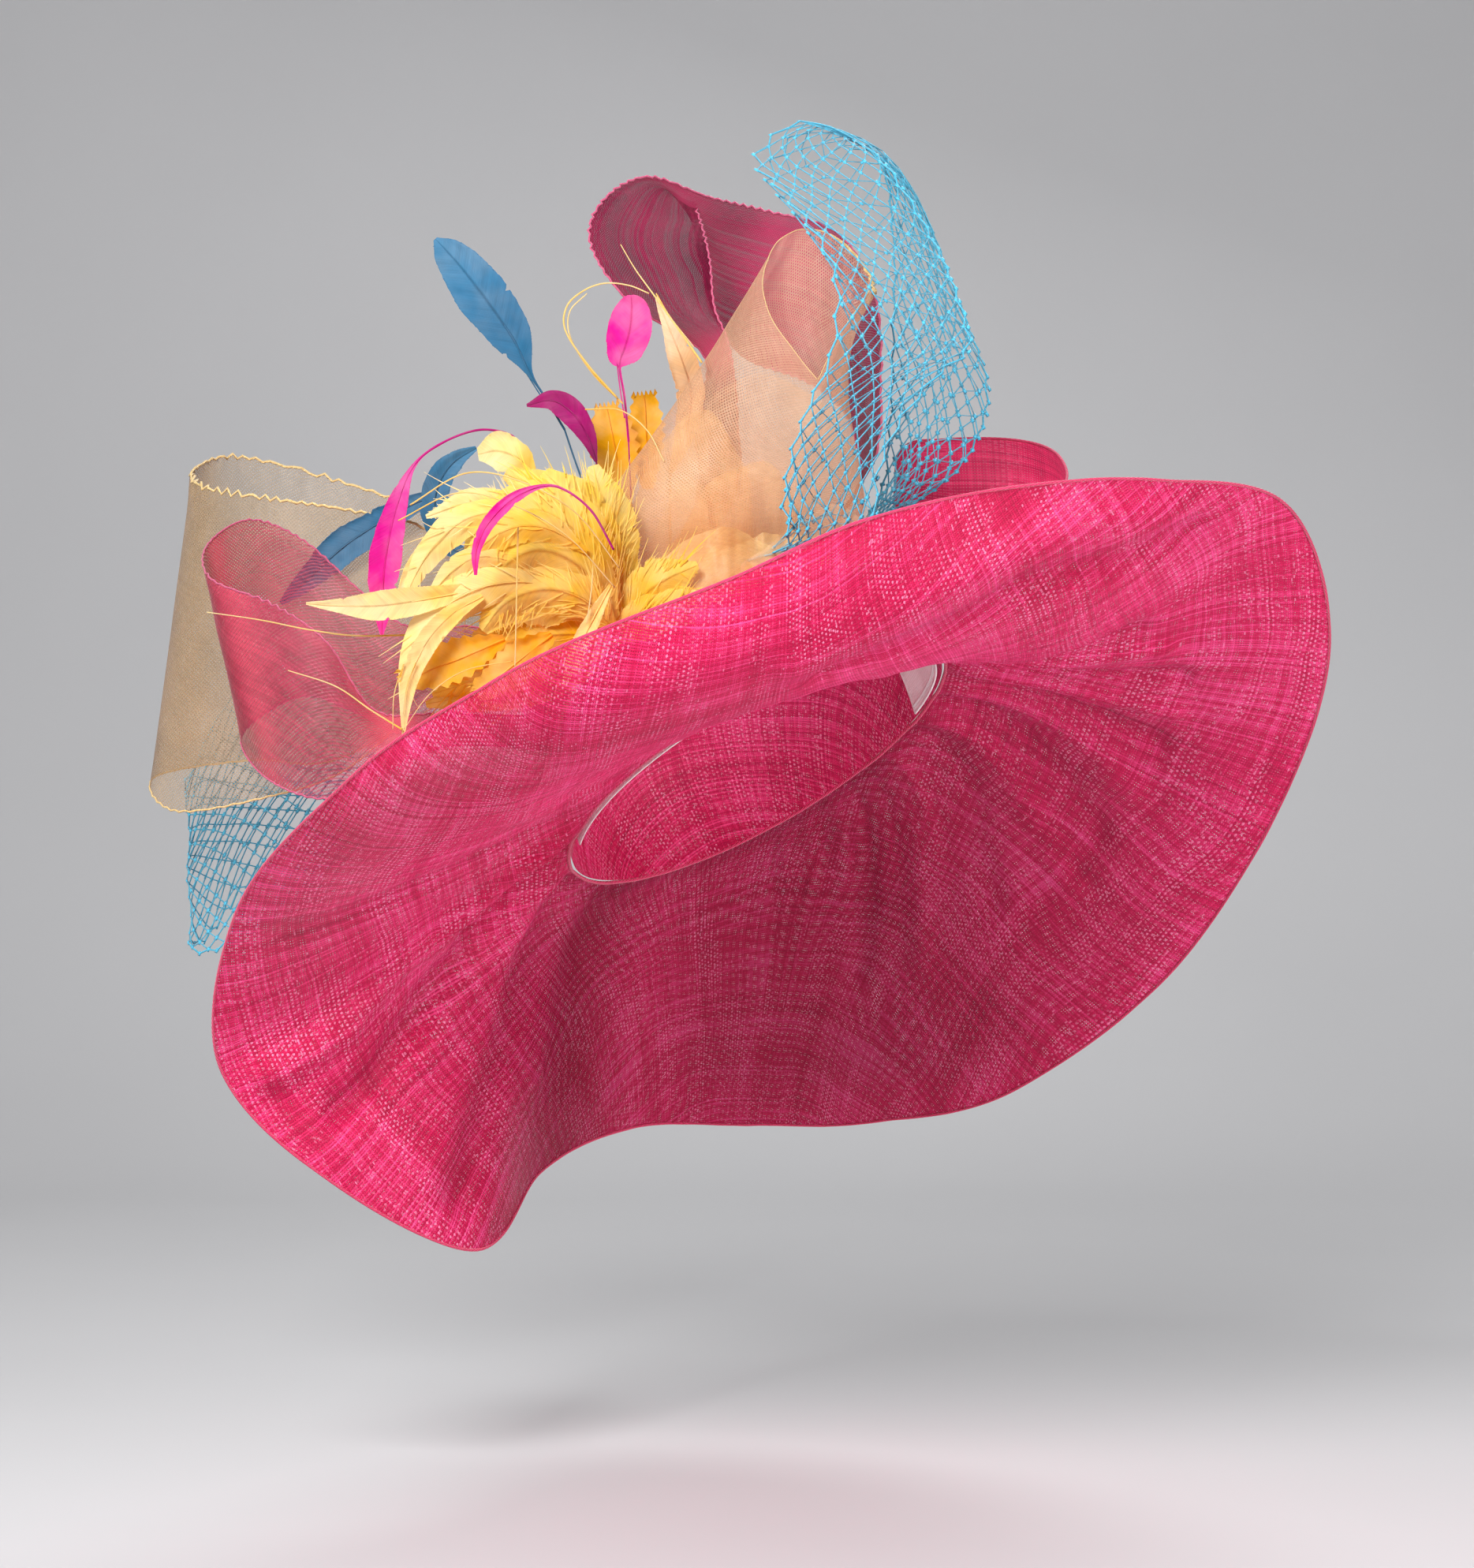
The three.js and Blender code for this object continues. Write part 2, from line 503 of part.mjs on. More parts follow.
const hat = new THREE.Group();
function put(parent, name, geometry, material, at = new THREE.Vector3()) {
  const mesh = new THREE.Mesh(geometry, material);
  mesh.name = name;
  mesh.position.copy(at);
  parent.add(mesh);
  return mesh;
}

const body = new THREE.Group();
hat.add(body);
put(body, 'crown', wall(crownGrid(44, 10), 0, CROWN_WALL, { ring: true, domed: true }), MATERIALS.sinamay);
put(body, 'brim', wall(brimGrid(90, 10), BRIM_WALL / 2, BRIM_WALL / 2, { ring: true }), MATERIALS.sinamay);
put(body, 'head_strip', wall(stripGrid(28, 2), STRIP_WALL / 2, STRIP_WALL / 2), MATERIALS.strip);

const loops = new THREE.Group();
hat.add(loops);
const LOOP_MATERIAL = {
  crinoline_loop_left: MATERIALS.peach, ribbon_loop_left: MATERIALS.magenta, ribbon_loop_top: MATERIALS.magenta,
  sinamay_loop: MATERIALS.loopSinamay, veil_top: MATERIALS.net, veil_left: MATERIALS.net,
};
for (const [name, rows] of Object.entries(LOOPS)) {
  const from = new THREE.Vector3(rows[0].ax, rows[0].ay, rows[0].az);
  put(loops, name, wall(ribbonGrid(rows, 3 * (rows.length - 1), 3), LOOP_WALL / 2, LOOP_WALL / 2, { from }), LOOP_MATERIAL[name], from);
}
const cornetFrom = new THREE.Vector3(CORNET.at(-1).leftX, CORNET.at(-1).midY, CORNET.at(-1).leftZ);
put(loops, 'crinoline_cornet', wall(cornetGrid(36, 8), LOOP_WALL / 2, LOOP_WALL / 2, { ring: true, from: cornetFrom }), MATERIALS.peach, cornetFrom);

const feathers = new THREE.Group();
hat.add(feathers);
put(feathers, 'feather_flower', flowerGeometry(), MATERIALS.yellow, new THREE.Vector3(FLOWER.x, FLOWER.y, FLOWER.z));
const featherMaterial = (name) => MATERIALS[
  name.includes('blue') ? 'blue' : name.includes('magenta') || name.includes('pink_') ? 'pink' : name.includes('purple') ? 'purple'
  : name.includes('gold') || name.includes('toothed') ? 'gold' : 'cream'];
for (const [name, rows] of Object.entries(FEATHERS)) {
  const { geometry, from } = vane(rows, 2 * (rows.length - 1), FEATHER_THICK);
  put(feathers, name, geometry, featherMaterial(name), from);
}

export default hat;
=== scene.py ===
# Looks of a wide-brimmed sinamay hat with crinoline loops, netting and feathers.
# Frame: metres, +Z up, -Y towards the viewer. The tables below are in millimetres.
import bpy
import math
import numpy as np
from mathutils import Matrix, Vector


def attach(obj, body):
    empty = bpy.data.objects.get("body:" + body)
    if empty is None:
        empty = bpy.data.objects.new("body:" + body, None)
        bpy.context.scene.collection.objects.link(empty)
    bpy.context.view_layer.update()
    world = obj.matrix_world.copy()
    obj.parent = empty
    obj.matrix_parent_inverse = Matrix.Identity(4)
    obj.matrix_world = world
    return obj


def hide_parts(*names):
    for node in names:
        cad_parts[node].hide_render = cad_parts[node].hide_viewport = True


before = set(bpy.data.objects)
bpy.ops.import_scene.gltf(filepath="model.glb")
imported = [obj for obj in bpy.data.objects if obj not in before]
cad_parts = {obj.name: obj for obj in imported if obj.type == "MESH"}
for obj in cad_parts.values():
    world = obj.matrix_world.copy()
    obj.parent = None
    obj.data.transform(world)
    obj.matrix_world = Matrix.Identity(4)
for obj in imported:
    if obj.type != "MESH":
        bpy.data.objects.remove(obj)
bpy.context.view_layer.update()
MM = 0.001

# ---------------------------------------------------------------- tables (mm)
def table(names, rows):
    """A row for each section or station, with named columns."""
    return [dict(zip(names.split(), row)) for row in rows]

# The brim: a row for each section round the head opening.
BRIM = table("at rimX rimY rimZ out1 up1 in2 up2", (
    (-94, -17.4, -286, 76.7, 85, -20, -4, -66),
    (-74, 46.2, -278, 104.8, 85, -23, 0, -70),
    (-56, 113, -246, 121.4, 82, -25, 12, -72),
    (-40, 180.8, -198, 128.6, 78, -30, 30, -70),
    (-27, 245.2, -138, 123.8, 74, -24, 46, -48),
    (-12, 279.8, -66, 66, 72, -14, 60, -20),
    (3, 274.3, 12, -5.2, 72, -2, 62, 10),
    (20, 228.3, 95, -101.9, 66, 8, 48, 45),
    (40, 145, 160, -176.9, 58, 5, 34, 75),
    (62, 68.4, 205, -199.5, 55, -5, 36, 82),
    (88, -0.6, 222, -202.9, 55, -12, 40, 82),
    (115, -69.8, 206, -203.2, 54, -18, 30, 82),
    (138, -117.2, 130, -220.2, 50, -24, 14, 90),
    (154, -146, 32, -249.4, 46, -28, 8, 100),
    (168, -210.8, -25, -209.2, 58, -28, 34, 70),
    (184, -263.5, -66, -144.1, 66, -24, 56, 26),
    (198, -246, -125, -68.7, 72, -26, 46, -16),
    (214, -185.6, -200, -7.4, 78, -28, 28, -42),
    (234, -121.4, -252, 32.8, 82, -23, 8, -56),
    (252, -75.8, -272, 54.7, 84, -22, -4, -60),
))

# Loops and nets: a row for each station along the ribbon, with one edge (a) and the other (b).
LOOPS = {
    "crinoline_loop_left": table("ax ay az bx by bz", (
        (-95.1, 45.5, 25.3, -104.3, 45.5, -3.3),
        (-110.4, 52, 64.9, -110.3, 50, 46.3),
        (-144.4, 66, 96.5, -144.1, 62, 46.6),
        (-174.4, 82, 133, -172.2, 76, 30.4),
        (-222.4, 96, 153, -226.1, 92, 3.4),
        (-276.2, 92, 165.7, -268.5, 88, 3.8),
        (-294.7, 62, 155.9, -315, 60, -5.1),
        (-283.6, 32, 144.3, -299.6, 30, -22.6),
        (-246.2, 20, 137.2, -249.7, 16, -15.3),
        (-208.2, 20, 131.5, -209.4, 16, -1.1),
        (-169.3, 24, 121.7, -165.3, 20, 37.3),
        (-133.4, 26, 82.1, -133.2, 24, 53.6),
        (-93.8, 32, 36.4, -106.3, 27.5, 10),
    )),
    "ribbon_loop_left": table("ax ay az bx by bz", (
        (-95.4, 18.3, 37.9, -105.6, 8.3, 14.5),
        (-131.9, 4, 69, -131.7, 2, 34.8),
        (-175.8, 2, 70.9, -175.6, 0, 16.8),
        (-200.4, 4, 88.6, -201.8, 2, 26.8),
        (-229.9, 6, 114.8, -225.8, 2, 36),
        (-257.2, 0, 125.2, -246, -6, 28.7),
        (-275.5, -22, 110.5, -257.6, -26, 14.1),
        (-269.6, -46, 92.5, -245.9, -48, -2.6),
        (-237.5, -62, 79.3, -225.3, -64, -13.4),
        (-210, -66, 60.2, -205.7, -70, -15),
        (-187.3, -62, 27.5, -179, -68, -1.5),
        (-155.3, -52, 25.8, -149.3, -54, 10.2),
        (-100.5, -8.4, 25.1, -100.1, -21.7, 7.8),
    )),
    "ribbon_loop_top": table("ax ay az bx by bz", (
        (-76.2, 30.2, 57.5, -69.2, 53.9, 52.6),
        (-31.9, 22, 134.5, -13.7, 24, 134.7),
        (-31.8, 14, 174.2, -9.6, 10, 175.8),
        (-26.5, 8, 209, -13.6, 2, 213),
        (-63.2, -14, 232.9, -21.2, 2, 233.1),
        (-83.3, -18, 262.1, -23.7, 8, 258),
        (-77.7, -8, 285.5, -28.6, 24, 280.6),
        (-55.4, 8, 300.6, -33, 46, 291.5),
        (-23.8, 30, 293.8, -24.1, 64, 244.7),
        (6.8, 44, 288.7, -7.5, 72, 217.5),
        (41.7, 46, 278.4, 23.6, 66, 204.3),
        (61.3, 44, 246.9, 42, 58, 191),
        (64.6, 34, 200.7, 51.9, 44, 169),
        (57.4, 26, 151.1, 47.5, 34, 135.5),
        (2.9, 57.6, 80.7, -22.3, 74.5, 64.1),
    )),
    "sinamay_loop": table("ax ay az bx by bz", (
        (54.5, 40.5, 79.5, 71.3, 39.8, 63.2),
        (71, 60, 127.2, 75.1, 60, 94.1),
        (77.1, 84, 167.9, 84.2, 76, 117.9),
        (102.2, 98, 175.5, 110.1, 90, 123.1),
        (139.7, 92, 174.5, 143.2, 84, 131),
        (158.3, 66, 164.9, 161.9, 60, 129.3),
        (160.1, 40, 147.4, 157.7, 36, 115.2),
        (134.1, 22, 140.6, 129.9, 20, 102),
        (101.4, 16, 126, 95.3, 16, 89.7),
        (56.6, 13.2, 92.7, 75.8, 7.8, 79.1),
    )),
    "veil_top": table("ax ay az bx by bz", (
        (-8.4, -47.9, 100.2, 21.2, -27.5, 107.3),
        (12.2, -78, 107.5, 56.2, -58, 117.4),
        (10.3, -80, 126.5, 61.5, -52, 144.2),
        (15.2, -80, 151.4, 74.2, -46, 172.1),
        (24, -80, 175.4, 94.4, -34, 196.8),
        (35.2, -76, 203.4, 108.9, -22, 210.1),
        (34.7, -68, 242.9, 101.5, -14, 238.9),
        (11.9, -40, 282.2, 88.9, 10, 272.4),
        (-3.6, -14, 306.3, 69.4, 24, 308.2),
        (23.2, 20, 331.7, 56, 46, 323.9),
        (62.3, 48, 317.3, 84, 64, 300.6),
        (71.3, 66, 279, 111.2, 74, 237.3),
        (71.5, 72, 230, 123.8, 70, 196.5),
        (69, 62, 179.1, 110, 56, 159.9),
        (61.2, 42, 136.1, 76.4, 42, 132),
        (21.3, 40.5, 90.7, 28.2, 26.4, 96.5),
    )),
    "veil_left": table("ax ay az bx by bz", (
        (-89.2, 75.5, 6.6, -90.7, 78, -17.2),
        (-125.9, 104, 64.8, -125.9, 104, 41.6),
        (-170.4, 130, 70.1, -170.4, 130, 18.6),
        (-223.6, 146, 62.1, -228.2, 148, -20.1),
        (-271.5, 148, 53.5, -276.1, 150, -63.4),
        (-296.3, 140, 25.3, -300, 142, -95.5),
        (-307.6, 124, -9.2, -307, 126, -95.3),
        (-300.3, 110, 5.6, -295.5, 112, -101.4),
        (-261.6, 106, 31, -265.8, 106, -87.6),
        (-223.7, 108, 39.5, -223.7, 108, -53.7),
    )),
}

# The standing cornet, a row for each level from the mouth down.
CORNET = table("leftX leftZ rightX rightZ midY halfY backUp", (
    (5.4, 253.6, 59.9, 237, -22, 14, 25),
    (-11.6, 227.2, 48.4, 211.4, -24, 20, 14),
    (-26.2, 203.7, 46, 189.9, -26, 24, 6),
    (-51.7, 166.8, 49.1, 166.8, -28, 30, 2),
    (-71.4, 138.5, 52.2, 146.3, -28, 34, 0),
    (-81.7, 113, 52.3, 126.8, -26, 32, 0),
    (-68.4, 96.2, 38.2, 115.1, -24, 24, 0),
))

# Feathers and petals: a row for each station from the quill to the tip, with half the width there.
FEATHERS = {
    "feather_blue_tall": table("x y z half", (
        (-96.4, -16, 169.2, 0.6),
        (-105.4, -12, 184.3, 0.6),
        (-114.3, -8, 198.3, 1.6),
        (-122.3, -8, 215, 9.6),
        (-134.2, -8, 232.5, 13.1),
        (-147.1, -6, 249.5, 11.6),
        (-156.9, -4, 261, 7.2),
        (-162.5, -4, 267, 1.2),
    )),
    "feather_blue_left": table("x y z half", (
        (-152.5, 12, 133.7, 0.8),
        (-166.6, 12, 137, 3.6),
        (-184.8, 12, 128.9, 6.4),
        (-208.9, 12, 113.6, 8.9),
        (-227, 12, 97.5, 6.4),
        (-242.7, 12, 83.4, 1.2),
    )),
    "feather_blue_curl": table("x y z half", (
        (-141.1, -12, 107.2, 0.8),
        (-153, -12, 109.6, 4.4),
        (-160.2, -12, 120.7, 6.4),
        (-162.2, -12, 133, 7.2),
        (-159.4, -12, 144.6, 6.8),
        (-151.8, -12, 154.1, 4.8),
        (-141.1, -12, 160.5, 1.2),
    )),
    "feather_magenta": table("x y z half", (
        (-117.5, -34, 156.8, 0.6),
        (-122.1, -36, 164.5, 0.6),
        (-137.4, -42, 166.6, 0.6),
        (-155.6, -48, 159.4, 0.6),
        (-169.3, -52, 147.4, 1.2),
        (-178, -54, 124.7, 5.8),
        (-182.8, -56, 99.3, 8.1),
        (-184, -56, 78, 4.7),
        (-184.4, -56, 64.4, 0.8),
    )),
    "feather_pink_curved": table("x y z half", (
        (-68.2, -120, 102.1, 0.5),
        (-78.4, -126, 119.9, 0.6),
        (-91.7, -129, 130.1, 0.6),
        (-102.8, -130, 131.1, 1.1),
        (-116.1, -130, 124.8, 3),
        (-126.9, -130, 113.7, 3.3),
        (-132.5, -130, 101, 2.2),
        (-132.8, -130, 89.5, 0.7),
    )),
    "feather_pink_oval": table("x y z half", (
        (-64.1, -22, 162.7, 0.6),
        (-66.1, -22, 184.4, 0.6),
        (-68.5, -22, 200.6, 2),
        (-65.7, -22, 210.1, 8.7),
        (-63.3, -22, 219.2, 11.1),
        (-62.5, -22, 229.1, 8.7),
        (-62.9, -22, 236.2, 1.6),
    )),
    "feather_purple": table("x y z half", (
        (-80.2, -26, 152.4, 0.8),
        (-84.5, -26, 165.1, 4.3),
        (-92, -26, 176.5, 6.7),
        (-102.2, -26, 182.8, 5.1),
        (-114.9, -26, 180.4, 0.8),
    )),
    "feather_peach": table("x y z half", (
        (-43.6, 2.5, 149, 1.2),
        (-36.4, 3, 169.1, 5.2),
        (-33.1, -5, 188.3, 7.2),
        (-37, -15, 203, 7.1),
        (-44, -21, 220.1, 3.6),
        (-50.3, -23, 235.2, 0.6),
    )),
    "petal_gold_left": table("x y z half", (
        (-66.9, 2, 133, 3.2),
        (-69.7, 2, 149, 11.2),
        (-72.5, 2, 165, 13.6),
        (-75.3, 2, 179, 8.8),
        (-76.5, 2, 185.8, 2),
    )),
    "petal_gold_right": table("x y z half", (
        (-55, 6, 141.3, 3.2),
        (-55.8, 6, 157.4, 8.8),
        (-56.2, 6, 171.4, 10.4),
        (-56.6, 6, 183.4, 8),
        (-57.4, 6, 191.9, 2),
    )),
    "petal_pale_round": table("x y z half", (
        (-110.3, -50, 145.2, 2.3),
        (-118.4, -52, 152, 7.8),
        (-128.1, -52, 155.1, 9.3),
        (-137.4, -52, 153.6, 3.1),
    )),
    "feather_horn_left": table("x y z half", (
        (-126.1, -92, 86.8, 1.5),
        (-151.6, -96, 81.3, 5.3),
        (-179.4, -98, 76.7, 7.2),
        (-200.4, -100, 76.6, 3.4),
        (-216, -102, 77.6, 0.6),
    )),
    "feather_horn_down": table("x y z half", (
        (-131.8, -98, 81.2, 1.5),
        (-145.5, -102, 72.7, 4.5),
        (-158.4, -105, 57.9, 5.3),
        (-166.6, -106, 38.6, 4.1),
        (-169, -108, 14.5, 0.6),
    )),
    "feather_pale_outer": table("x y z half", (
        (-129.7, -74, 123.1, 1.2),
        (-143.7, -76, 119.9, 3.4),
        (-158.7, -80, 107.4, 4.2),
        (-168.6, -84, 90, 3.8),
        (-174.5, -86, 71.6, 0.8),
    )),
    "feather_diagonal": table("x y z half", (
        (-70.1, -100, 86.4, 1.1),
        (-78.6, -104, 70, 3.8),
        (-86.7, -108, 52.9, 3.8),
        (-92.2, -110, 37.8, 1.1),
    )),
    "petal_toothed_lower": table("x y z half", (
        (-121.6, -92, 61, 3),
        (-140.6, -92, 52.7, 10.6),
        (-157.6, -92, 45.9, 10.6),
        (-172.8, -92, 39, 2.3),
    )),
    "petal_toothed_right": table("x y z half", (
        (-98.3, -101, 62.6, 3),
        (-111.4, -103, 52.3, 9.8),
        (-124.5, -105, 41.7, 8.3),
        (-135.6, -107, 32.2, 1.5),
    )),
}


OPENING_LONG, OPENING_WIDE, OPENING_TURN = 104.0, 92.0, -68.0
CROWN_HEIGHT, CROWN_FULLNESS, CROWN_TAPER = 92.0, 3.0, 0.05
LEAN = np.array([-0.41, 0.30, 0.86]); LEAN /= np.linalg.norm(LEAN)

# Thin bare quills and strands: x, y, z and the radius at each point.
QUILLS = {
    "tan_loop": {"look": "cream", "slot": "feather_cream", "r0": 0.55, "r1": 0.35, "points": ((-69.8, -30, 183.9), (-84.3, -32, 200.2), (-95.2, -34, 216.9), (-94.4, -34, 229.0), (-85.7, -34, 236.9), (-75.1, -34, 240.4), (-63.4, -34, 239.2), (-53.6, -34, 235.3))},
    "tan_loop_inner": {"look": "cream", "slot": "feather_cream", "r0": 0.45, "r1": 0.3, "points": ((-66.7, -28, 181.0), (-81.6, -30, 195.7), (-92.5, -32, 212.8), (-93.3, -32, 226.1), (-84.6, -32, 235.6))},
    "straight": {"look": "cream", "slot": "feather_cream", "r0": 0.6, "r1": 0.25, "points": ((-27.1, -50, 198.9), (-38.0, -50, 214.4), (-49.7, -48, 231.0), (-59.9, -46, 245.3), (-67.4, -44, 258.1))},
    "crossing": {"look": "cream", "slot": "feather_cream", "r0": 0.35, "r1": 0.25, "points": ((-49.8, -46, 233.6), (-42.7, -48, 221.7), (-31.0, -50, 206.6))},
    "pink_stem": {"look": "pink", "slot": "feather_pink", "r0": 0.4, "r1": 0.4, "points": ((-70.1, -22, 204.2), (-68.4, -24, 190.1), (-65.9, -28, 173.9))},
    "upright_front": {"look": "cream", "slot": "feather_cream", "r0": 0.45, "r1": 0.3, "points": ((-113.9, -112, 113.1), (-114.5, -114, 78.9), (-115.3, -114, 44.4))},
    "upright_right": {"look": "cream", "slot": "feather_cream", "r0": 0.4, "r1": 0.3, "points": ((-78.2, -104, 100.5), (-79.3, -106, 83.8), (-81.4, -108, 67.9))},
    "long_left": {"look": "cream", "slot": "feather_cream", "r0": 0.5, "r1": 0.25, "points": ((-168.2, -80, 63.4), (-194.8, -82, 63.0), (-217.4, -84, 65.9), (-240.0, -86, 70.4), (-265.6, -88, 74.1))},
    "low_left": {"look": "cream", "slot": "feather_cream", "r0": 0.5, "r1": 0.25, "points": ((-169.2, -110, 17.1), (-184.5, -108, 26.5), (-201.6, -106, 37.9), (-224.4, -104, 45.5))},
    "drop_left_a": {"look": "cream", "slot": "feather_cream", "r0": 0.35, "r1": 0.2, "points": ((-168.7, -108, 48.4), (-173.1, -109, 34.0), (-173.7, -110, 17.1))},
    "drop_left_b": {"look": "cream", "slot": "feather_cream", "r0": 0.35, "r1": 0.2, "points": ((-163.0, -108, 49.1), (-167.1, -109, 37.8), (-168.8, -110, 24.6))},
    "low_right": {"look": "cream", "slot": "feather_cream", "r0": 0.35, "r1": 0.2, "points": ((-116.1, -118, 49.5), (-138.6, -118, 45.0), (-155.4, -118, 33.8), (-167.7, -118, 17.0))},
    "arc_a": {"look": "cream", "slot": "feather_cream", "r0": 0.4, "r1": 0.3, "points": ((-166.0, -104, 124.6), (-139.3, -108, 139.3), (-112.8, -112, 135.2), (-86.5, -112, 120.2), (-66.1, -104, 94.5))},
    "arc_b": {"look": "cream", "slot": "feather_cream", "r0": 0.35, "r1": 0.3, "points": ((-171.7, -104, 117.1), (-142.9, -110, 129.8), (-116.4, -114, 123.8), (-90.2, -114, 108.8), (-68.0, -104, 85.0))},
    "root_blue_tall": {"look": "blue", "slot": "feather_blue", "r0": 0.5, "r1": 0.6, "points": ((-96.4, -16, 169.2), (-89.0, -14, 147.6), (-76.1, -8, 114.3), (-63.6, 0, 88.8))},
    "root_blue_left": {"look": "blue", "slot": "feather_blue", "r0": 0.5, "r1": 0.6, "points": ((-152.5, 12, 133.7), (-120.5, 14, 113.7), (-88.1, 12, 94.3), (-63.8, 8, 82.0))},
    "root_blue_curl": {"look": "blue", "slot": "feather_blue", "r0": 0.5, "r1": 0.6, "points": ((-141.1, -12, 107.2), (-111.0, -10, 96.2), (-79.4, -4, 83.8), (-63.6, 0, 77.6))},
    "root_magenta": {"look": "pink", "slot": "feather_pink", "r0": 0.45, "r1": 0.6, "points": ((-117.5, -34, 156.8), (-101.2, -30, 130.4), (-80.8, -20, 101.6), (-63.4, -8, 82.4))},
    "root_pink_oval": {"look": "pink", "slot": "feather_pink", "r0": 0.4, "r1": 0.5, "points": ((-64.1, -22, 162.7), (-62.7, -18, 131.4), (-60.9, -10, 108.1), (-58.7, -2, 88.7))},
    "root_purple": {"look": "purple", "slot": "feather_purple", "r0": 0.5, "r1": 0.6, "points": ((-80.2, -26, 152.4), (-74.0, -22, 127.1), (-67.2, -12, 100.1), (-61.1, -4, 85.4))},
    "root_peach": {"look": "peach_feather", "slot": "feather_cream", "r0": 0.6, "r1": 0.7, "points": ((-43.6, 2.5, 149.8), (-43.7, 3, 125.0), (-43.7, 3, 95.0))},
    "root_pale": {"look": "cream", "slot": "feather_cream", "r0": 0.6, "r1": 0.7, "points": ((-110.3, -50, 145.2), (-94.9, -48, 121.2), (-75.3, -30, 95.8), (-60.9, -12, 80.2))},
    "flower_stalk_a": {"look": "gold", "slot": "feather_gold", "r0": 1.6, "r1": 2, "points": ((-84.1, -62, 84.7), (-72.3, -36, 73.1), (-58.6, -8, 68.5))},
    "flower_stalk_b": {"look": "gold", "slot": "feather_gold", "r0": 1.3, "r1": 1.6, "points": ((-80.1, -66, 78.3), (-68.3, -40, 71.0), (-56.1, -12, 69.9))},
    "blue_stem": {"look": "blue", "slot": "feather_blue", "r0": 0.35, "r1": 0.4, "points": ((-115.5, -16, 197.4), (-105.8, -18, 182.9), (-93.9, -20, 170.8))},
    "gold_arc_right": {"look": "cream", "slot": "feather_cream", "r0": 0.4, "r1": 0.3, "points": ((-85.5, -30, 178.0), (-68.0, -36, 177.0), (-54.5, -44, 166.4), (-45.7, -54, 149.9))},
}


# ---------------------------------------------------------------- mesh helpers
def unit(v):
    return v / np.maximum(np.linalg.norm(v, axis=-1, keepdims=True), 1e-9)


def smooth(x, a, b):
    t = np.clip((x - a) / (b - a), 0, 1)
    return t * t * (3 - 2 * t)


def mesh(name, points, quads=None, tris=None, flat=None, values=None, shade_smooth=True):
    """A mesh object from arrays. points in mm; flat: the cloth's own flat place of each point, in mm."""
    me = bpy.data.meshes.new(name)
    loops, starts, at = [], [], 0
    for faces, k in ((quads, 4), (tris, 3)):
        if faces is not None and len(faces):
            faces = np.asarray(faces, np.int64).reshape(-1, k)
            loops.append(faces.ravel())
            starts.append(at + k * np.arange(len(faces)))
            at += k * len(faces)
    loops, starts = np.concatenate(loops), np.concatenate(starts)
    pts = np.asarray(points, float).reshape(-1, 3) * MM
    me.vertices.add(len(pts))
    me.vertices.foreach_set("co", pts.astype(np.float32).ravel())
    me.loops.add(len(loops))
    me.loops.foreach_set("vertex_index", loops.astype(np.int32))
    me.polygons.add(len(starts))
    me.polygons.foreach_set("loop_start", starts.astype(np.int32))
    me.update(calc_edges=True)
    me.polygons.foreach_set("use_smooth", np.full(len(starts), shade_smooth))
    uv = me.uv_layers.new(name="flat")
    f = np.zeros((len(pts), 2)) if flat is None else np.asarray(flat, float).reshape(-1, 2)
    uv.data.foreach_set("uv", f[loops].astype(np.float32).ravel())
    for key, vals in (values or {}).items():
        a = me.attributes.new(key, "FLOAT", "POINT")
        a.data.foreach_set("value", np.asarray(vals, np.float32).ravel())
    me.update()
    o = bpy.data.objects.new(name, me)
    bpy.context.scene.collection.objects.link(o)
    return o


def grid_quads(n, m, ring=False, first=0):
    i, j = np.meshgrid(np.arange(n if ring else n - 1), np.arange(m - 1), indexing="ij")
    a = i * m + j
    b = ((i + 1) % n) * m + j
    return (np.stack([a, b, b + 1, a + 1], -1).reshape(-1, 4)) + first


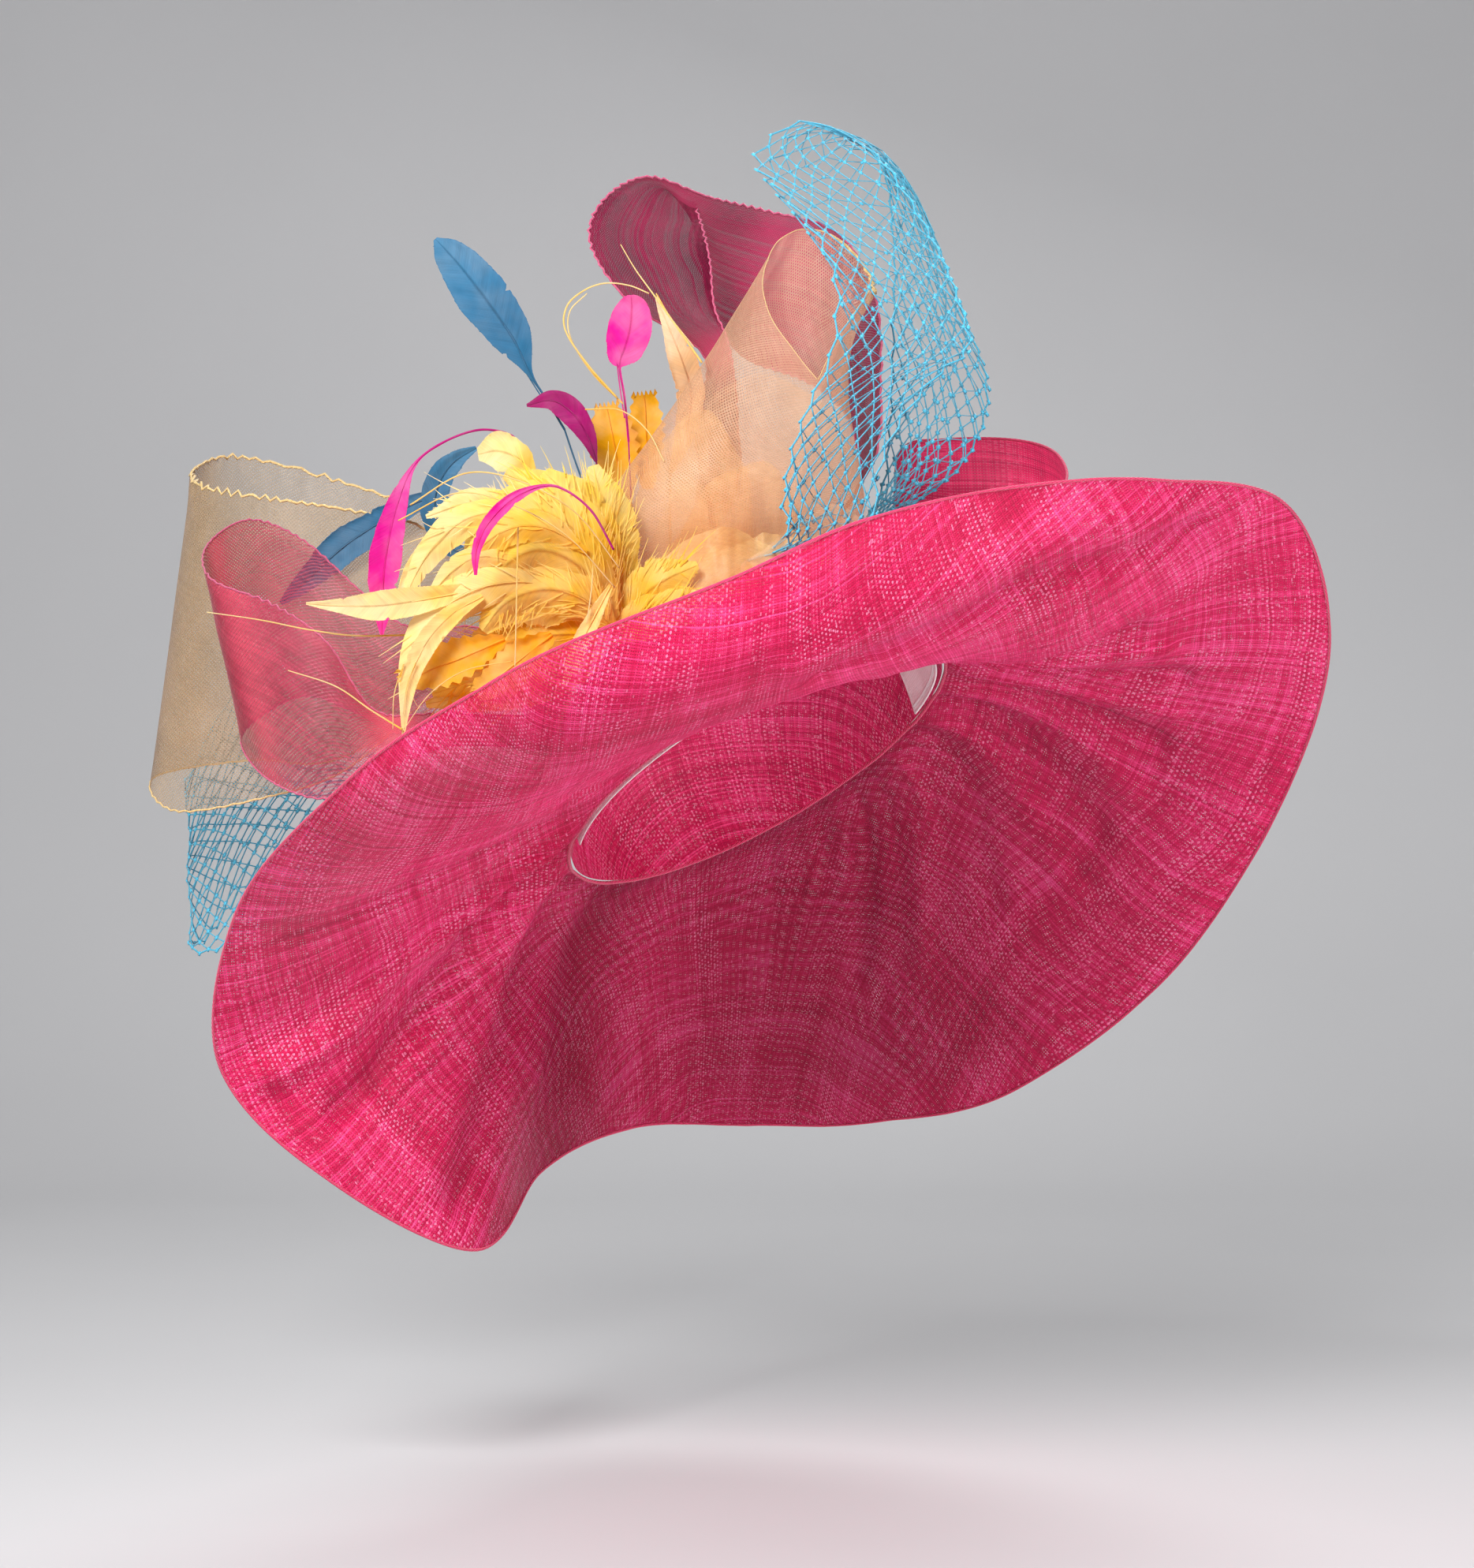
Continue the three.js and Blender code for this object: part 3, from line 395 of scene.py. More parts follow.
class Pile:
    """Many small strips and tubes gathered into one mesh."""

    def __init__(self):
        self.p, self.q, self.t, self.f, self.v, self.n = [], [], [], [], {}, 0

    def add(self, points, quads=None, tris=None, flat=None, **values):
        pts = np.asarray(points, float).reshape(-1, 3)
        if quads is not None:
            self.q.append(np.asarray(quads).reshape(-1, 4) + self.n)
        if tris is not None:
            self.t.append(np.asarray(tris).reshape(-1, 3) + self.n)
        self.f.append(np.zeros((len(pts), 2)) if flat is None else np.asarray(flat, float).reshape(-1, 2))
        for k, x in values.items():
            self.v.setdefault(k, []).append(np.broadcast_to(np.asarray(x, float), (len(pts),)).copy())
        self.p.append(pts)
        self.n += len(pts)

    def strip(self, path, side, half, shade=0.0, hue=0.0, t0=0.0):
        """A flat strip along path; side: its sideways direction at each point; half: half its width."""
        path, k = np.asarray(path, float), len(path)
        side = np.asarray(side, float) * np.asarray(half, float).reshape(-1, 1)
        pts = np.stack([path - side, path + side], 1)
        d = np.concatenate([[0], np.cumsum(np.linalg.norm(np.diff(path, axis=0), axis=1))])
        flat = np.stack([np.repeat(d, 2), np.tile([-1.0, 1.0], k) * np.repeat(np.broadcast_to(half, (k,)), 2)], 1)
        self.add(pts, grid_quads(k, 2), flat=flat, shade=shade, hue=hue, along=np.repeat(np.linspace(t0, 1, k), 2))

    def tube(self, path, radius, sides=5, shade=0.0, hue=0.0):
        path = np.asarray(path, float)
        k = len(path)
        d = unit(np.gradient(path, axis=0))
        ref = np.array([0.0, -1.0, 0.15])
        a = unit(np.cross(d, ref + 1e-6))
        b = np.cross(d, a)
        r = np.broadcast_to(np.asarray(radius, float), (k,)).reshape(-1, 1, 1)
        w = 2 * math.pi * np.arange(sides) / sides
        ring = a[:, None] * np.cos(w)[None, :, None] + b[:, None] * np.sin(w)[None, :, None]
        pts = path[:, None] + r * ring
        i, j = np.meshgrid(np.arange(k - 1), np.arange(sides), indexing="ij")
        q = np.stack([i * sides + j, i * sides + (j + 1) % sides, (i + 1) * sides + (j + 1) % sides, (i + 1) * sides + j], -1)
        caps = []
        for base, turn in ((0, -1), ((k - 1) * sides, 1)):
            for s in range(1, sides - 1):
                tri = [base, base + s, base + s + 1]
                caps.append(tri[::turn])
        arc = np.concatenate([[0], np.cumsum(np.linalg.norm(np.diff(path, axis=0), axis=1))])
        flat = np.stack([np.repeat(arc, sides), np.tile(w * 0.5, k)], 1)
        self.add(pts, q.reshape(-1, 4), caps, flat=flat, shade=shade, hue=hue, along=np.repeat(np.linspace(0, 1, k), sides))

    def build(self, name):
        return mesh(name, np.concatenate(self.p), np.concatenate(self.q) if self.q else None,
                    np.concatenate(self.t) if self.t else None, np.concatenate(self.f),
                    {k: np.concatenate(x) for k, x in self.v.items()})


def spline(rows, u):
    """Catmull-Rom through rows, read at places u (0 .. rows-1)."""
    rows = np.asarray(rows, float)
    ext = np.vstack([2 * rows[0] - rows[1], rows, 2 * rows[-1] - rows[-2]])
    u = np.clip(np.asarray(u, float), 0, len(rows) - 1)
    i = np.minimum(u.astype(int), len(rows) - 2)
    t = (u - i).reshape(-1, 1)
    a, b, c, d = ext[i], ext[i + 1], ext[i + 2], ext[i + 3]
    return 0.5 * (2 * b + (c - a) * t + (2 * a - 5 * b + 4 * c - d) * t * t + (3 * b - a - 3 * c + d) * t ** 3)


def noise1(x, seed):
    """Smooth noise between -1 and 1 along a line."""
    r = np.random.default_rng(seed).uniform(-1, 1, 512)
    x = np.asarray(x, float)
    i = np.floor(x).astype(int)
    t = x - i
    t = t * t * (3 - 2 * t)
    return r[i % 512] * (1 - t) + r[(i + 1) % 512] * t


def noise2(x, y, seed):
    """Smooth noise between -1 and 1 over a plane."""
    r = np.random.default_rng(seed).uniform(-1, 1, (64, 64))
    x, y = np.broadcast_arrays(np.asarray(x, float), np.asarray(y, float))
    i, j = np.floor(x).astype(int), np.floor(y).astype(int)
    s, t = x - i, y - j
    s, t = s * s * (3 - 2 * s), t * t * (3 - 2 * t)
    g = lambda a, b: r[a % 64, b % 64]
    return (g(i, j) * (1 - s) + g(i + 1, j) * s) * (1 - t) + (g(i, j + 1) * (1 - s) + g(i + 1, j + 1) * s) * t


def finish_piece(o, material, slot, *nodes):
    o.data.materials.append(material)
    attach(o, "root")
    if nodes:
        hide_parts(*nodes)
    return o


# ---------------------------------------------------------------- material helpers
class Mat:
    def __init__(self, name):
        self.m = bpy.data.materials.new(name)
        self.m.use_nodes = True
        self.t = self.m.node_tree
        self.t.nodes.clear()

    def put(self, socket, v):
        if isinstance(v, bpy.types.NodeSocket):
            self.t.links.new(v, socket)
        elif isinstance(v, (tuple, list)) and len(v) == 3 and socket.type == "RGBA":
            socket.default_value = (*v, 1)
        else:
            socket.default_value = v

    def node(self, kind, ins=None, **props):
        n = self.t.nodes.new(kind)
        for k, v in props.items():
            setattr(n, k, v)
        for k, v in (ins or {}).items():
            self.put(n.inputs[k], v)
        return n

    def math(self, op, *a, clamp=False):
        return self.node("ShaderNodeMath", dict(enumerate(a)), operation=op, use_clamp=clamp).outputs[0]

    def add(self, a, b): return self.math("ADD", a, b)
    def sub(self, a, b): return self.math("SUBTRACT", a, b)
    def mul(self, a, b): return self.math("MULTIPLY", a, b)

    def ramp(self, x, lo, hi, a=0.0, b=1.0, kind="SMOOTHSTEP"):
        return self.node("ShaderNodeMapRange", {0: x, 1: lo, 2: hi, 3: a, 4: b}, interpolation_type=kind).outputs[0]

    def mix(self, f, a, b, blend="MIX"):
        n = self.node("ShaderNodeMix", data_type="RGBA", blend_type=blend)
        for k, v in ((0, f), (6, a), (7, b)):
            self.put(n.inputs[k], v)
        return n.outputs[2]

    def attr(self, name):
        return self.node("ShaderNodeAttribute", attribute_name=name).outputs["Fac"]

    def flat(self):
        n = self.node("ShaderNodeSeparateXYZ", {0: self.node("ShaderNodeUVMap", uv_map="flat").outputs[0]})
        return n.outputs[0], n.outputs[1]

    def vec(self, x, y, z=0.0):
        return self.node("ShaderNodeCombineXYZ", {0: x, 1: y, 2: z}).outputs[0]

    def noise(self, vec, scale, detail=2.0, rough=0.5):
        n = self.node("ShaderNodeTexNoise", {"Scale": scale, "Detail": detail, "Roughness": rough})
        self.put(n.inputs["Vector"], vec)
        return n.outputs[0]

    def white(self, vec):
        n = self.node("ShaderNodeTexWhiteNoise", noise_dimensions="3D")
        self.put(n.inputs["Vector"], vec)
        return n.outputs[0]

    def turn(self, x, y, deg, pitch):
        """x and y turned by deg and counted in threads."""
        c, s = math.cos(math.radians(deg)) / pitch, math.sin(math.radians(deg)) / pitch
        return self.add(self.mul(x, c), self.mul(y, s)), self.sub(self.mul(y, c), self.mul(x, s))

    def thread(self, x, wide, soft=0.25):
        """How much of each thread covers x (1 on it, 0 in the gap) and its roundness."""
        d = self.math("ABSOLUTE", self.sub(self.math("FRACT", x), 0.5))
        d = self.mul(d, 2.0)
        cover = self.ramp(self.sub(d, wide), soft * 0.5, -soft * 0.5)
        return cover, self.sub(1.0, self.mul(d, d))

    def bump(self, height, strength, distance):
        return self.node("ShaderNodeBump", {"Height": height, "Strength": strength, "Distance": distance}).outputs[0]

    def output(self, shader):
        self.t.links.new(shader, self.node("ShaderNodeOutputMaterial").inputs[0])
        return self.m


def principled(M, color, rough, normal=None, alpha=None, **sockets):
    n = M.node("ShaderNodeBsdfPrincipled")
    M.put(n.inputs["Base Color"], color)
    M.put(n.inputs["Roughness"], rough)
    if normal is not None:
        M.put(n.inputs["Normal"], normal)
    if alpha is not None:
        M.put(n.inputs["Alpha"], alpha)
    for k, v in sockets.items():
        M.put(n.inputs[k.replace("_", " ")], v)
    return n


def with_translucent(M, front, color, share, normal=None):
    b = M.node("ShaderNodeBsdfTranslucent")
    M.put(b.inputs["Color"], color)
    if normal is not None:
        M.put(b.inputs["Normal"], normal)
    n = M.node("ShaderNodeMixShader", {0: share})
    M.t.links.new(front, n.inputs[1])
    M.t.links.new(b.outputs[0], n.inputs[2])
    return n.outputs[0]


def with_holes(M, front, cover):
    n = M.node("ShaderNodeMixShader", {0: cover})
    M.t.links.new(M.node("ShaderNodeBsdfTransparent").outputs[0], n.inputs[1])
    M.t.links.new(front, n.inputs[2])
    return n.outputs[0]


def sinamay(name, deep, mid, light, pitch=1.25, wide=0.66, layers=2, open_more=1.0, seen_through=0.20, sparkle=0.42):
    """Two layers of open plain-woven straw on top of each other, so that their gaps drift in and out of step."""
    M = Mat(name)
    u, v = M.flat()
    p = M.vec(u, v)
    wob = M.noise(p, 0.009, 0.0)
    wob2 = M.noise(M.vec(v, u, 7.0), 0.011, 0.0)
    ux, vx = M.add(u, M.mul(wob, 16.0)), M.add(v, M.mul(wob2, 16.0))
    opened = M.attr("open")
    loose = M.noise(M.vec(v, u, 3.0), 0.03, 1.0)
    w = M.sub(M.add(wide - 0.06, M.mul(loose, 0.12)), M.mul(opened, 0.16))
    xa, ya = M.turn(ux, vx, 6, pitch)
    ca, ra = M.thread(xa, w)
    cb, rb = M.thread(ya, w)
    holeA = M.mul(M.sub(1.0, ca), M.sub(1.0, cb))
    if layers == 2:
        u2, v2 = M.add(ux, M.mul(wob2, 12.0)), M.add(vx, M.mul(wob, -14.0))
        xc, yc = M.turn(u2, v2, 19, pitch * 1.02)
        cc, rc = M.thread(xc, w)
        cd, rd = M.thread(yc, w)
        holeB = M.mul(M.sub(1.0, cc), M.sub(1.0, cd))
        hole = M.mul(holeA, M.math("ADD", holeB, M.mul(opened, open_more), clamp=True))
        lower_layer_shade = M.mul(holeA, M.sub(1.0, M.mul(holeB, 0.5)))
    else:
        hole, lower_layer_shade = holeA, None
    # every thread has its own shade, and straw is uneven along its length
    ta = M.white(M.vec(M.math("FLOOR", xa), 3.0, 1.0))
    tb = M.white(M.vec(M.math("FLOOR", ya), 5.0, 2.0))
    sa = M.noise(M.vec(M.mul(xa, 0.55), M.mul(ya, 0.02), 1.0), 1.0, 2.0)
    sb = M.noise(M.vec(M.mul(xa, 0.02), M.mul(ya, 0.55), 4.0), 1.0, 2.0)
    band_a = M.ramp(M.noise(M.vec(M.mul(xa, 0.055), M.mul(ya, 0.004), 8.0), 1.0, 2.0), 0.52, 0.66)
    band_b = M.ramp(M.noise(M.vec(M.mul(xa, 0.004), M.mul(ya, 0.055), 9.0), 1.0, 2.0), 0.52, 0.66)
    cloud = M.noise(p, 0.012, 3.0)
    over = M.math("GREATER_THAN", ca, cb)
    thread_tone = M.add(M.mul(ta, over), M.mul(tb, M.sub(1.0, over)))
    tone = M.add(M.mul(thread_tone, 0.24), M.mul(M.add(sa, sb), 0.26))
    tone = M.sub(tone, M.mul(M.add(band_a, band_b), 0.07))
    tone = M.add(tone, M.mul(cloud, 0.34))
    tone = M.ramp(tone, 0.22, 0.82, kind="LINEAR")
    # painted highlights: short stretches where a thread lies flat and shiny are painted as pale pink glints, and are a
    # little less rough
    ga = M.white(M.vec(M.math("FLOOR", xa), M.math("FLOOR", M.mul(ya, 0.8)), 11.0))
    gb = M.white(M.vec(M.math("FLOOR", M.mul(xa, 0.8)), M.math("FLOOR", ya), 12.0))
    lattice = M.math("COMPARE", M.math("FRACT", M.mul(M.add(M.math("FLOOR", xa), M.mul(M.math("FLOOR", ya), 2.0)), 0.25)), 0.0, 0.1)
    patch_a = M.noise(M.vec(M.mul(xa, 0.060), M.mul(ya, 0.022), 6.0), 1.0, 2.0)
    glint = M.mul(M.mul(lattice, M.math("MAXIMUM", ca, cb)), M.mul(M.ramp(M.add(ga, gb), 0.35, 1.3), M.ramp(patch_a, 0.42, 0.64, 0.06, 1.0)))
    glint = M.math("MAXIMUM", M.mul(glint, 1.1), M.mul(M.mul(M.ramp(ga, 0.955, 0.99), ca), 0.8))
    color = M.mix(tone, deep, mid)
    color = M.mix(M.ramp(tone, 0.45, 1.0, 0.0, 0.8), color, light)
    # painted shade: the lower layer, seen through the gaps of the upper one, is painted darker
    if lower_layer_shade is not None:
        color = M.mix(M.mul(lower_layer_shade, 0.62), color, deep)
    # painted shade: where the mesh marks it, the straw is painted much darker, with fewer painted glints and less light
    # let through
    color = M.mix(M.mul(M.attr("density_and_painted_light"), 0.78), color, tuple(0.40 * c for c in deep))
    # the painted glints go in here, in pale pink, with fewer where painted shade lies
    color = M.mix(M.mul(M.mul(glint, M.sub(1.0, M.mul(M.attr("density_and_painted_light"), 0.75))), sparkle), color, (1.0, 0.34, 0.56))
    height = M.math("MAXIMUM", M.mul(ca, ra), M.mul(cb, rb))
    normal = M.bump(M.add(height, M.mul(M.add(sa, sb), 0.6)), 0.5, 0.0006)
    rough = M.sub(M.ramp(sb, 0.2, 0.8, 0.46, 0.34), M.mul(glint, 0.12))
    s = principled(M, color, rough, normal, Sheen_Weight=0.03, Sheen_Roughness=0.4, Sheen_Tint=(1.0, 0.30, 0.55), Specular_IOR_Level=0.15)
    body = with_translucent(M, s.outputs[0], M.mix(0.5, color, light), M.mul(M.ramp(opened, 0.0, 1.0, seen_through, seen_through + 0.35), M.sub(1.0, M.mul(M.attr("density_and_painted_light"), 0.8))))
    return M.output(with_holes(M, body, M.sub(1.0, hole)))


def crinoline(name, color_a, color_b, glow, cover=0.62, pitch=0.95, wide=0.55, gain=0.30, sparkle=0.08, mottle=0.16, streaks=0.8, lined=0.9):
    """Sheer stiff horsehair braid: a fine plain weave that lets much of what is behind it through."""
    M = Mat(name)
    u, v = M.flat()
    wob = M.noise(M.vec(u, v), 0.03, 2.0)
    xa, ya = M.turn(M.add(u, M.mul(wob, 5.0)), M.add(v, M.mul(wob, -4.0)), 42, pitch)
    ca, ra = M.thread(xa, wide)
    cb, rb = M.thread(ya, wide)
    woven = M.sub(1.0, M.mul(M.sub(1.0, ca), M.sub(1.0, cb)))
    streak_a = M.noise(M.vec(M.mul(xa, 0.30), M.mul(ya, 0.025), 2.0), 1.0, 2.0)
    streak_b = M.noise(M.vec(M.mul(xa, 0.025), M.mul(ya, 0.30), 5.0), 1.0, 2.0)
    streak = M.sub(M.add(streak_a, streak_b), 1.0)
    cloud = M.noise(M.vec(u, v, 3.0), 0.02, 3.0)
    density_and_painted_light = M.attr("density_and_painted_light")
    lines = M.noise(M.vec(M.mul(v, 0.55), M.mul(u, 0.006), 8.0), 1.0, 1.0)
    tone = M.ramp(M.add(M.add(M.mul(streak, streaks), 0.1), M.mul(cloud, 0.8)), 0.25, 0.80)
    tone = M.math("ADD", tone, M.mul(M.sub(lines, 0.5), lined), clamp=True)
    color = M.mix(tone, color_a, color_b)
    # painted sheen: where the braid is marked denser it is painted with the brighter glow colour; there it is also
    # really denser and more opaque
    color = M.mix(M.mul(density_and_painted_light, 0.7), color, glow)
    # painted highlights: a few threads carry pale glints
    ga = M.white(M.vec(M.math("FLOOR", xa), M.math("FLOOR", ya), 5.0))
    glint = M.mul(M.ramp(ga, 0.90, 0.99), ca)
    color = M.mix(M.mul(glint, sparkle), color, (1.0, 0.85, 0.80))
    normal = M.bump(M.add(M.math("MAXIMUM", M.mul(ca, ra), M.mul(cb, rb)), M.mul(streak, streaks)), 0.4, 0.0003)
    s = principled(M, color, M.ramp(cloud, 0.3, 0.7, 0.30, 0.42), normal, Sheen_Weight=0.25, Sheen_Roughness=0.3,
                   Sheen_Tint=(1.0, 0.8, 0.8), Specular_IOR_Level=0.5)
    body = with_translucent(M, s.outputs[0], color, 0.45)
    edge = M.node("ShaderNodeLayerWeight", {"Blend": 0.35}).outputs["Facing"]
    solid = M.add(M.mul(woven, M.add(M.add(cover, M.mul(streak, mottle * 2)), M.mul(M.sub(lines, 0.5), 0.30 * lined))), M.mul(density_and_painted_light, gain))
    solid = M.math("ADD", solid, M.mul(M.math("POWER", edge, 3.0), 0.35), clamp=True)
    return M.output(with_holes(M, body, solid))


def yarn(name, color_a, color_b, rough=0.5, twist=2.2):
    """A twisted thread: its plies wind round it."""
    M = Mat(name)
    u, v = M.flat()
    ply = M.math("SINE", M.add(M.mul(u, twist), M.mul(v, 12.0)))
    fuzz = M.noise(M.vec(M.mul(u, 0.8), M.mul(v, 2.0), 0.0), 1.0, 3.0)
    color = M.mix(M.ramp(M.add(M.mul(ply, 0.25), fuzz), 0.2, 0.9), color_a, color_b)
    s = principled(M, color, rough, M.bump(M.add(ply, fuzz), 0.5, 0.0004), Sheen_Weight=0.3, Sheen_Roughness=0.5)
    return M.output(s.outputs[0])


def feather(name, root, mid, tip, through=0.35, rough=0.55, span=0.16):
    """Barbs lying side by side: fine lines along each barb, shade changing from quill to tip."""
    M = Mat(name)
    u, v = M.flat()
    along, shade, hue = M.attr("along"), M.attr("shade"), M.attr("hue")
    fine = M.noise(M.vec(M.mul(u, 0.10), M.mul(v, 9.0), M.mul(hue, 7.0)), 1.0, 3.0)
    soft = M.noise(M.node("ShaderNodeTexCoord").outputs["Object"], 60.0, 3.0)
    color = M.mix(M.ramp(M.add(along, M.mul(M.sub(soft, 0.5), 0.5)), 0.0, 0.5), root, mid)
    color = M.mix(M.ramp(M.add(along, M.mul(M.sub(soft, 0.5), 0.4)), 0.45, 1.0), color, tip)
    hs = M.node("ShaderNodeHueSaturation")
    M.put(hs.inputs["Hue"], M.add(0.5, M.mul(hue, 0.016)))
    M.put(hs.inputs["Saturation"], M.ramp(soft, 0.3, 0.7, 1.08, 0.92))
    M.put(hs.inputs["Value"], M.add(M.add(1.0, M.mul(shade, span)), M.mul(M.sub(fine, 0.5), 0.45)))
    M.put(hs.inputs["Color"], color)
    normal = M.bump(fine, 0.45, 0.0005)
    s = principled(M, hs.outputs[0], rough, normal, Sheen_Weight=0.25, Sheen_Roughness=0.45, Specular_IOR_Level=0.25)
    return M.output(with_translucent(M, s.outputs[0], hs.outputs[0], through))


MAT = {
    "sinamay": sinamay("sinamay", (0.28, 0.000, 0.024), (0.88, 0.008, 0.108), (1.0, 0.11, 0.36), sparkle=0.62),
    "open": sinamay("open_sinamay", (0.34, 0.006, 0.045), (0.95, 0.018, 0.13), (1.0, 0.09, 0.25), pitch=1.7, wide=0.86, layers=1, seen_through=0.35, sparkle=0.12),
    "edge": yarn("rolled_edge", (0.50, 0.006, 0.06), (0.80, 0.03, 0.16), rough=0.75),
    "magenta": crinoline("crinoline_magenta", (0.38, 0.025, 0.075), (0.66, 0.07, 0.145), (1.0, 0.16, 0.22), cover=0.76, mottle=0.04, streaks=0.4, pitch=1.25, gain=0.45, lined=1.4),
    "plum": crinoline("crinoline_plum", (0.13, 0.002, 0.026), (0.36, 0.012, 0.072), (1.0, 0.10, 0.26), cover=0.93, wide=0.82, sparkle=0.0, mottle=0.02, gain=0.10, streaks=0.25, lined=1.3),
    "magenta_thread": yarn("selvedge_magenta", (0.45, 0.03, 0.12), (0.80, 0.14, 0.28)),
    "peach": crinoline("crinoline_peach", (0.36, 0.26, 0.15), (0.56, 0.40, 0.24), (0.80, 0.54, 0.28), cover=0.60, mottle=0.03, streaks=0.25, pitch=1.35, lined=0.6),
    "cornet": crinoline("crinoline_cornet", (0.76, 0.46, 0.27), (0.90, 0.62, 0.40), (0.95, 0.62, 0.30), cover=0.50, mottle=0.04, streaks=0.3, lined=0.35, pitch=1.25),
    "organza": crinoline("organza_folds", (0.92, 0.54, 0.17), (0.96, 0.68, 0.28), (1.0, 0.80, 0.40), cover=0.60, pitch=0.6, mottle=0.08, streaks=0.4, lined=0.4, sparkle=0.3),
    "pale_organza": crinoline("organza_pale_folds", (0.92, 0.58, 0.31), (0.96, 0.68, 0.40), (1.0, 0.76, 0.46), cover=0.22, pitch=0.6, mottle=0.06, streaks=0.4, lined=0.4, sparkle=0.2),
    "gold_thread": yarn("frilled_edge", (0.66, 0.42, 0.13), (0.97, 0.72, 0.34)),
    "net": yarn("net_thread", (0.03, 0.40, 0.62), (0.10, 0.60, 0.80), rough=0.45),
    "gold": feather("feather_gold", (0.92, 0.60, 0.075), (0.95, 0.70, 0.13), (0.95, 0.77, 0.24), through=0.5),
    "orange": feather("feather_orange", (0.94, 0.50, 0.055), (0.95, 0.57, 0.085), (0.96, 0.66, 0.15), through=0.5),
    "amber": feather("feather_amber", (0.82, 0.36, 0.03), (0.92, 0.47, 0.055), (0.90, 0.45, 0.05), through=0.4),
    "cream": feather("feather_cream", (0.94, 0.66, 0.16), (0.95, 0.74, 0.29), (0.94, 0.77, 0.38), through=0.42),
    "blue": feather("feather_blue", (0.025, 0.11, 0.20), (0.04, 0.145, 0.265), (0.055, 0.175, 0.30), through=0.25),
    "pink": feather("feather_pink", (0.52, 0.018, 0.22), (0.68, 0.045, 0.31), (0.80, 0.06, 0.31)),
    "purple": feather("feather_purple", (0.22, 0.004, 0.09), (0.36, 0.008, 0.15), (0.34, 0.010, 0.13)),
    "peach_feather": feather("feather_peach", (0.95, 0.56, 0.24), (0.95, 0.62, 0.32), (0.95, 0.70, 0.42), through=0.40),
}


def strip_material():
    M = Mat("woven_strip")
    u, v = M.flat()
    xa, ya = M.turn(u, v, 0, 1.1)
    ca, ra = M.thread(xa, 0.8)
    cb, rb = M.thread(ya, 0.8)
    dots = M.mul(M.sub(1.0, ca), M.sub(1.0, cb))
    cloud = M.noise(M.vec(u, v), 0.05, 3.0)
    color = M.mix(M.ramp(cloud, 0.3, 0.7), (0.84, 0.70, 0.72), (0.94, 0.85, 0.86))
    color = M.mix(M.mul(dots, 0.9), color, (0.62, 0.40, 0.46))
    normal = M.bump(M.add(M.mul(ca, ra), M.mul(cb, rb)), 0.5, 0.0004)
    return M.output(principled(M, color, 0.8, normal, Sheen_Weight=0.2).outputs[0])


MAT["strip"] = strip_material()

# Creases and ridges drawn on the brim: how high and wide (mm), and the line each follows as angle and share of the width.
CREASES = table("high wide line", (
    (7.0, 11, ((201, .03), (187, .16), (180, .35), (180, .51), (178, .68), (180, .92))),
    (-6.5, 10, ((190, .02), (176, .16), (170, .35), (170, .50), (169, .68), (171, .86))),
    (4.5, 9, ((172, .00), (163, .15), (160, .30), (163, .45), (165, .66))),
    (-5.5, 12, ((160, .02), (153, .25), (152, .50), (154, .70), (156, .92))),
    (3.5, 12, ((142, .05), (140, .40), (142, .75))),
    (-3.0, 10, ((214, .10), (204, .35), (198, .60), (196, .80))),
    (-5.0, 9, ((-80, .52), (-70, .58), (-62, .64), (-55, .73), (-48, .79), (-42, .81), (-34, .88))),
    (3.5, 13, ((-84, .66), (-70, .74), (-60, .82), (-50, .89), (-38, .95))),
    (-3.5, 8, ((-34, .06), (-30, .30), (-26, .52))),
    (4.2, 7, ((-25, .04), (-22, .30), (-18, .55))),
    (-4.2, 7, ((-16, .04), (-13, .30), (-10, .60))),
    (3.8, 7, ((-8, .03), (-5, .30), (-2, .60))),
    (-3.6, 7, ((0, .03), (2, .30), (4, .62))),
    (2.6, 8, ((8, .03), (10, .30), (12, .62))),
    (-2.4, 8, ((17, .03), (18, .30), (19, .62))),
    (2.2, 9, ((26, .03), (27, .35), (27, .66))),
    (-2.2, 9, ((36, .03), (37, .35), (38, .60))),
    (2.2, 10, ((48, .04), (50, .35), (52, .65))),
    (-2.0, 10, ((60, .04), (62, .35), (64, .65))),
))

# ---------------------------------------------------------------- brim, crown, strip
def opening(deg, grow=0.0):
    a, b = np.radians(deg), np.radians(deg - OPENING_TURN)
    r = grow + 1 / np.hypot(np.cos(b) / OPENING_LONG, np.sin(b) / OPENING_WIDE)
    x, y = r * np.cos(a), r * np.sin(a)
    return np.stack([x, y, -(LEAN[0] * x + LEAN[1] * y) / LEAN[2]], -1)


def around(rows, name, deg):
    at = np.array([r["at"] for r in rows], float)
    val = np.array([r[name] for r in rows], float)
    n = len(at)
    A = np.concatenate([at[-2:] - 360, at, at[:3] + 360])
    V = np.concatenate([val[-2:], val, val[:3]])
    d = (np.asarray(deg, float) - at[0]) % 360 + at[0]
    i = np.searchsorted(A, d, side="right") - 1
    x0, x1, x2, x3 = A[i - 1], A[i], A[i + 1], A[i + 2]
    v0, v1, v2, v3 = V[i - 1], V[i], V[i + 1], V[i + 2]
    h = x2 - x1
    t = (d - x1) / h
    m1 = (((v1 - v0) / (x1 - x0)) * (x2 - x1) + ((v2 - v1) / (x2 - x1)) * (x1 - x0)) / (x2 - x0)
    m2 = (((v2 - v1) / (x2 - x1)) * (x3 - x2) + ((v3 - v2) / (x3 - x2)) * (x2 - x1)) / (x3 - x1)
    return ((2 * t**3 - 3 * t * t + 1) * v1 + (t**3 - 2 * t * t + t) * h * m1
            + (-2 * t**3 + 3 * t * t) * v2 + (t**3 - t * t) * h * m2)


